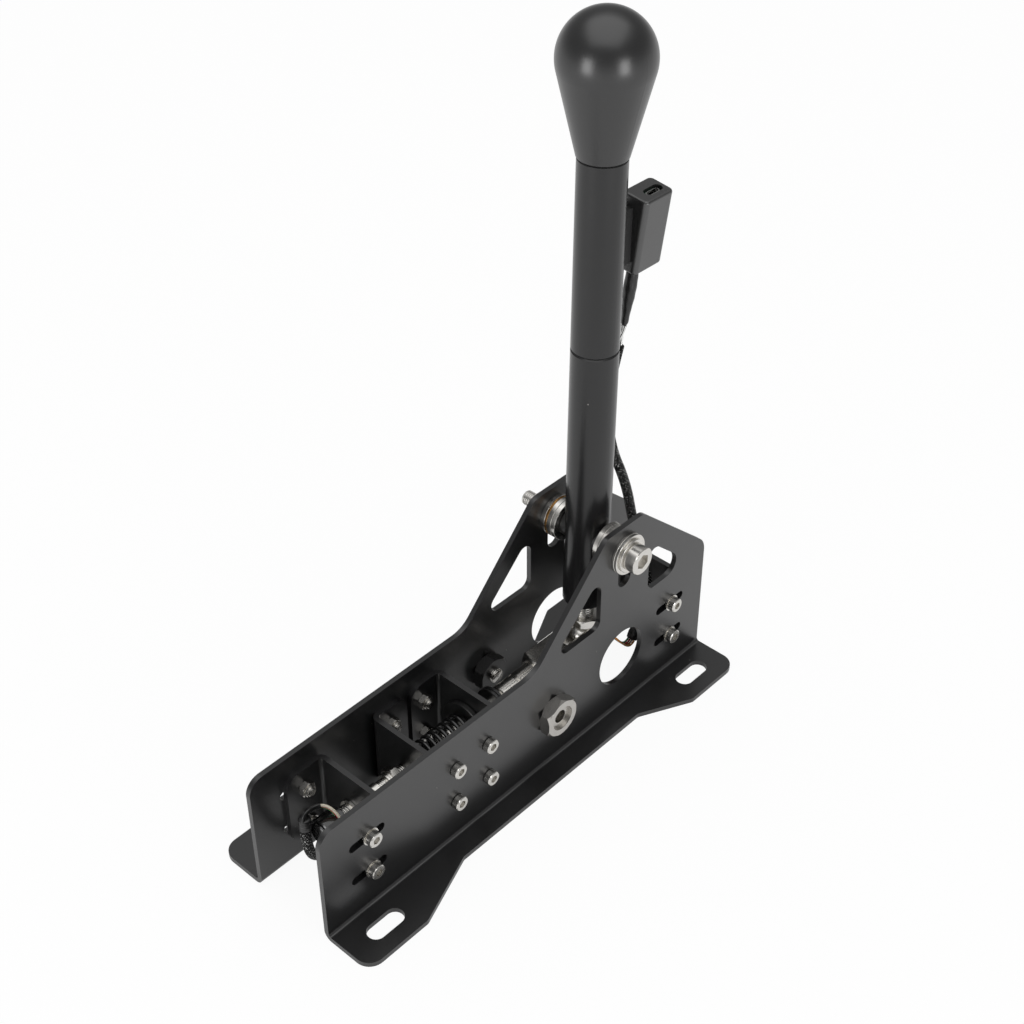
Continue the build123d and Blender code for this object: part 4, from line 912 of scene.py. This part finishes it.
LEAN = math.radians(0.84)
EYE_TOP: Point = (0.0, 0.07562, 0.0688)
EYE_LOW: Point = (0.0, 0.07536, 0.0514)
EYE_WAY: Point = (0.0, -math.sin(LEAN), -math.cos(LEAN))
THREADS = (
    ThreadSpec("pivot_screw_thread", "base", (-0.0449, 0.0763, 0.1152), (1, 0, 0), 0.0078, 0.0039, 0.00125),
    ThreadSpec("cell_stud_thread", "base", (0, -0.1123, 0.0395), (0, 1, 0), 0.0056, 0.0049, 0.0015),
    ThreadSpec("cell_stud_tail_thread", "base", (0, -0.0974, 0.0395), (0, 1, 0), 0.0009, 0.0049, 0.0009),
    ThreadSpec("plunger_front_thread", "base", (0, -0.0859, 0.0395), (0, 1, 0), 0.0048, 0.0039, 0.00125),
    ThreadSpec("plunger_rear_thread", "base", (0, -0.0729, 0.0395), (0, 1, 0), 0.0047, 0.0039, 0.00125),
    ThreadSpec("rod_thread", "push_rod", (0, 0.0022, 0.0395), (0, 1, 0), 0.0029, 0.0049, 0.001),
    ThreadSpec("eye_stud_thread", "lever", EYE_TOP, EYE_WAY, 0.0122, 0.0049, 0.0015),
    ThreadSpec("eye_stud_low_thread", "lever", EYE_LOW, EYE_WAY, 0.0019, 0.0049, 0.00095),
    ThreadSpec("guide_thread_right", "base", (0.0141, 0.0193, 0.0371), (1, 0, 0), 0.0028, 0.0039, 0.00125),
    ThreadSpec("guide_thread_left", "base", (-0.0141, 0.0193, 0.0371), (-1, 0, 0), 0.0028, 0.0039, 0.00125),
)


class SolidDresser:
    """Gives each of the solids its finish."""

    FINISHES: dict[Finish, tuple[str, ...]] = {
        POWDER_COAT: (
            "side_plate_right", "side_plate_left", "bracket_front", "bracket_seat", "bracket_guide",
            "bracket_rear",
        ),
        STAINLESS: (
            "bracket_screws", "bracket_nuts", "slot_washers", "pivot_screw", "pivot_outer_washers",
            "pivot_nut", "pivot_steel_washers", "guide_screws", "load_cell_stud", "load_cell_nuts",
            "plunger", "plunger_nuts", "eye_stud", "eye_jam_nut", "push_rod", "fork_head", "fork_jam_nut",
            "fork_pin", "fork_pin_clip",
        ),
        HEXAGON_STEEL: ("guide_bushings",),
        BRONZE: ("pivot_bronze_washers",),
        BLACK_OXIDE: (
            "guide_locknuts", "spring_front_seat", "spring_rear_seat", "rod_collars", "pivot_bush",
        ),
        GLOSS_BLACK: ("load_cell_body", "load_cell_cap"),
        ANODISED: (
            "lever_lower_tube", "lever_upper_tube", "joining_sleeve", "tube_top_plug", "lever_bottom_plug",
        ),
        KNOB_COAT: ("knob",),
        MOULDED: ("box_shell", "box_lid"),
        FOAM: ("box_pad",),
        PLATED: ("usb_port",),
        BOARD: ("circuit_board",),
    }

    def __init__(self, shelf: MaterialShelf, nodes: dict[str, bpy.types.Object]) -> None:
        """Keeps the shelf and the solids."""
        self.shelf = shelf
        self.nodes = nodes

    def dress(self) -> None:
        """Puts a material on every solid that keeps its own shape."""
        for finish, names in self.FINISHES.items():
            for name in names:
                for material_slot in self.nodes[name].material_slots:
                    material_slot.material = self.shelf.get(finish)
                log.info("%s wears %s", name, finish.name)


@dataclass(frozen=True)
class Lamp:
    """A soft lamp: where it hangs, its width and height, and its power in watts."""

    name: str
    place: Point
    sides: tuple[float, float]
    power: float


@dataclass
class Studio:
    """A pale floor, soft light and the camera."""

    eye: Point = (0.46895, -0.48676, 0.70517)
    target: Point = (0.040577, -0.027269, 0.21005)
    roll: float = math.radians(-0.319)
    lens: float = 60.755
    sensor_width: float = 36.0
    clip: tuple[float, float] = (0.01, 50.0)
    floor_size: float = 14.0
    paper: tuple[float, ...] = (0.84, 0.84, 0.84, 1.0)
    white: tuple[float, ...] = (1.0, 1.0, 1.0, 1.0)
    world_strength: float = 0.75
    seen_glow: float = 0.93
    mirrored_glow: float = 0.35
    sky_levels: tuple[tuple[float, float], ...] = (
        (0.0, 0.6), (0.12, 0.4), (0.3, 0.28), (0.62, 0.28), (0.86, 0.9),
    )
    lamps: tuple[Lamp, ...] = (
        Lamp("overhead", (0.1, -0.15, 2.4), (3.0, 3.0), 17.0),
        Lamp("left_box", (-0.04, -1.47, 0.2), (0.55, 1.15), 9.0),
        Lamp("right_box", (1.545, -0.23, 0.2), (0.55, 1.15), 9.0),
    )
    lit_point: Point = (0.0, 0.0, 0.15)

    def build(self) -> None:
        """Builds the whole set."""
        self._world()
        self._floor()
        for lamp in self.lamps:
            self._hang(lamp)
        self._camera()
        bpy.context.scene.view_settings.view_transform = "Standard"

    def _seen_and_mirrored(self, graph: Graph) -> tuple[bpy.types.NodeSocket, bpy.types.NodeSocket]:
        """Two masks: rays that come straight from the camera or through glass, and mirrored rays.

        Args:
            graph: The graph that the nodes go into.

        Returns:
            The two masks.
        """
        path = graph.add("ShaderNodeLightPath")
        seen = graph.math("MAXIMUM", path.outputs["Is Camera Ray"], path.outputs["Is Transmission Ray"])
        return seen, path.outputs["Is Glossy Ray"]

    def _world(self) -> None:
        """A white sky: full white to the camera, softer as light, and in reflections with a dimmer belt."""
        world = bpy.data.worlds.new("white_sky")
        world.use_nodes = True
        world.node_tree.nodes.clear()
        graph = Graph(world.node_tree)
        seen, mirrored = self._seen_and_mirrored(graph)
        parts = graph.add("ShaderNodeSeparateXYZ", {0: graph.add("ShaderNodeTexCoord").outputs["Generated"]})
        ramp = graph.add("ShaderNodeValToRGB", {0: parts.outputs[2]})
        stops = ramp.color_ramp.elements
        stops.remove(stops[1])
        for height, level in self.sky_levels:
            stop = stops.new(height) if height > 0 else stops[0]
            stop.color = (level, level, level, 1.0)
        light = {"Factor": mirrored, 2: self.world_strength, 3: ramp.outputs[0]}
        share = graph.math("MAXIMUM", seen, graph.add("ShaderNodeMix", light).outputs[0])
        sky = graph.add("ShaderNodeBackground", {"Color": self.white, "Strength": share})
        graph.add("ShaderNodeOutputWorld", {0: sky.outputs[0]})
        bpy.context.scene.world = world

    def _floor(self) -> None:
        """A white floor that glows white to the camera and keeps a faint shadow."""
        half = self.floor_size / 2
        corners = [(-half, -half, 0.0), (half, -half, 0.0), (half, half, 0.0), (-half, half, 0.0)]
        mesh = bpy.data.meshes.new("floor")
        mesh.from_pydata(corners, [], [(0, 1, 2, 3)])
        floor = bpy.data.objects.new("floor", mesh)
        bpy.context.scene.collection.objects.link(floor)
        material = bpy.data.materials.new("white_paper")
        material.use_nodes = True
        material.node_tree.nodes.clear()
        graph = Graph(material.node_tree)
        seen, mirrored = self._seen_and_mirrored(graph)
        to_camera = graph.math("MULTIPLY", seen, self.seen_glow)
        in_mirrors = graph.math("MULTIPLY", mirrored, self.mirrored_glow)
        share = graph.math("MAXIMUM", to_camera, in_mirrors)
        paper = graph.add("ShaderNodeBsdfDiffuse", {"Color": self.paper})
        glow = graph.add("ShaderNodeEmission", {"Color": self.white, "Strength": 1.0})
        mixed = graph.add("ShaderNodeMixShader", {0: share, 1: paper.outputs[0], 2: glow.outputs[0]})
        graph.add("ShaderNodeOutputMaterial", {0: mixed.outputs[0]})
        mesh.materials.append(material)

    def _hang(self, lamp: Lamp) -> None:
        """Hangs a lamp, turned towards the middle of the object.

        Args:
            lamp: The lamp to hang.
        """
        light = bpy.data.lights.new(lamp.name, "AREA")
        light.shape = "RECTANGLE"
        light.size, light.size_y = lamp.sides
        light.energy = lamp.power
        holder = bpy.data.objects.new(lamp.name, light)
        holder.visible_camera = False
        bpy.context.scene.collection.objects.link(holder)
        way = Vector(self.lit_point) - Vector(lamp.place)
        turn = way.to_track_quat("-Z", "Y").to_matrix().to_4x4()
        holder.matrix_world = Matrix.Translation(lamp.place) @ turn

    def _camera(self) -> None:
        """The camera, turned a little about its own line of sight."""
        data = bpy.data.cameras.new("camera")
        data.lens = self.lens
        data.sensor_width = self.sensor_width
        data.clip_start, data.clip_end = self.clip
        camera = bpy.data.objects.new("camera", data)
        bpy.context.scene.collection.objects.link(camera)
        forward = (Vector(self.target) - Vector(self.eye)).normalized()
        right = forward.cross(Vector((0, 0, 1))).normalized()
        up = right.cross(forward)
        turned_right = right * math.cos(self.roll) + up * math.sin(self.roll)
        turned_up = up * math.cos(self.roll) - right * math.sin(self.roll)
        turn = Matrix((turned_right, turned_up, -forward)).transposed().to_4x4()
        camera.matrix_world = Matrix.Translation(self.eye) @ turn
        bpy.context.scene.camera = camera


def main() -> None:
    """Builds every piece in order and notes each piece that it makes."""
    logging.basicConfig(level=logging.INFO, format="%(message)s")
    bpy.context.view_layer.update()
    shelf = MaterialShelf()
    maker = CordMaker(shelf)
    Studio().build()
    for piece in ControlLead(maker).build() + SensorHarness(maker).build():
        log.info("made %s", piece.name)
    log.info("made %s", ReturnSpring(shelf).build().name)
    cutter = ThreadCutter(shelf)
    for spec in THREADS:
        log.info("made %s", cutter.build(spec).name)
    SolidDresser(shelf, frame["nodes"]).dress()


if __name__ == "__main__":
    main()
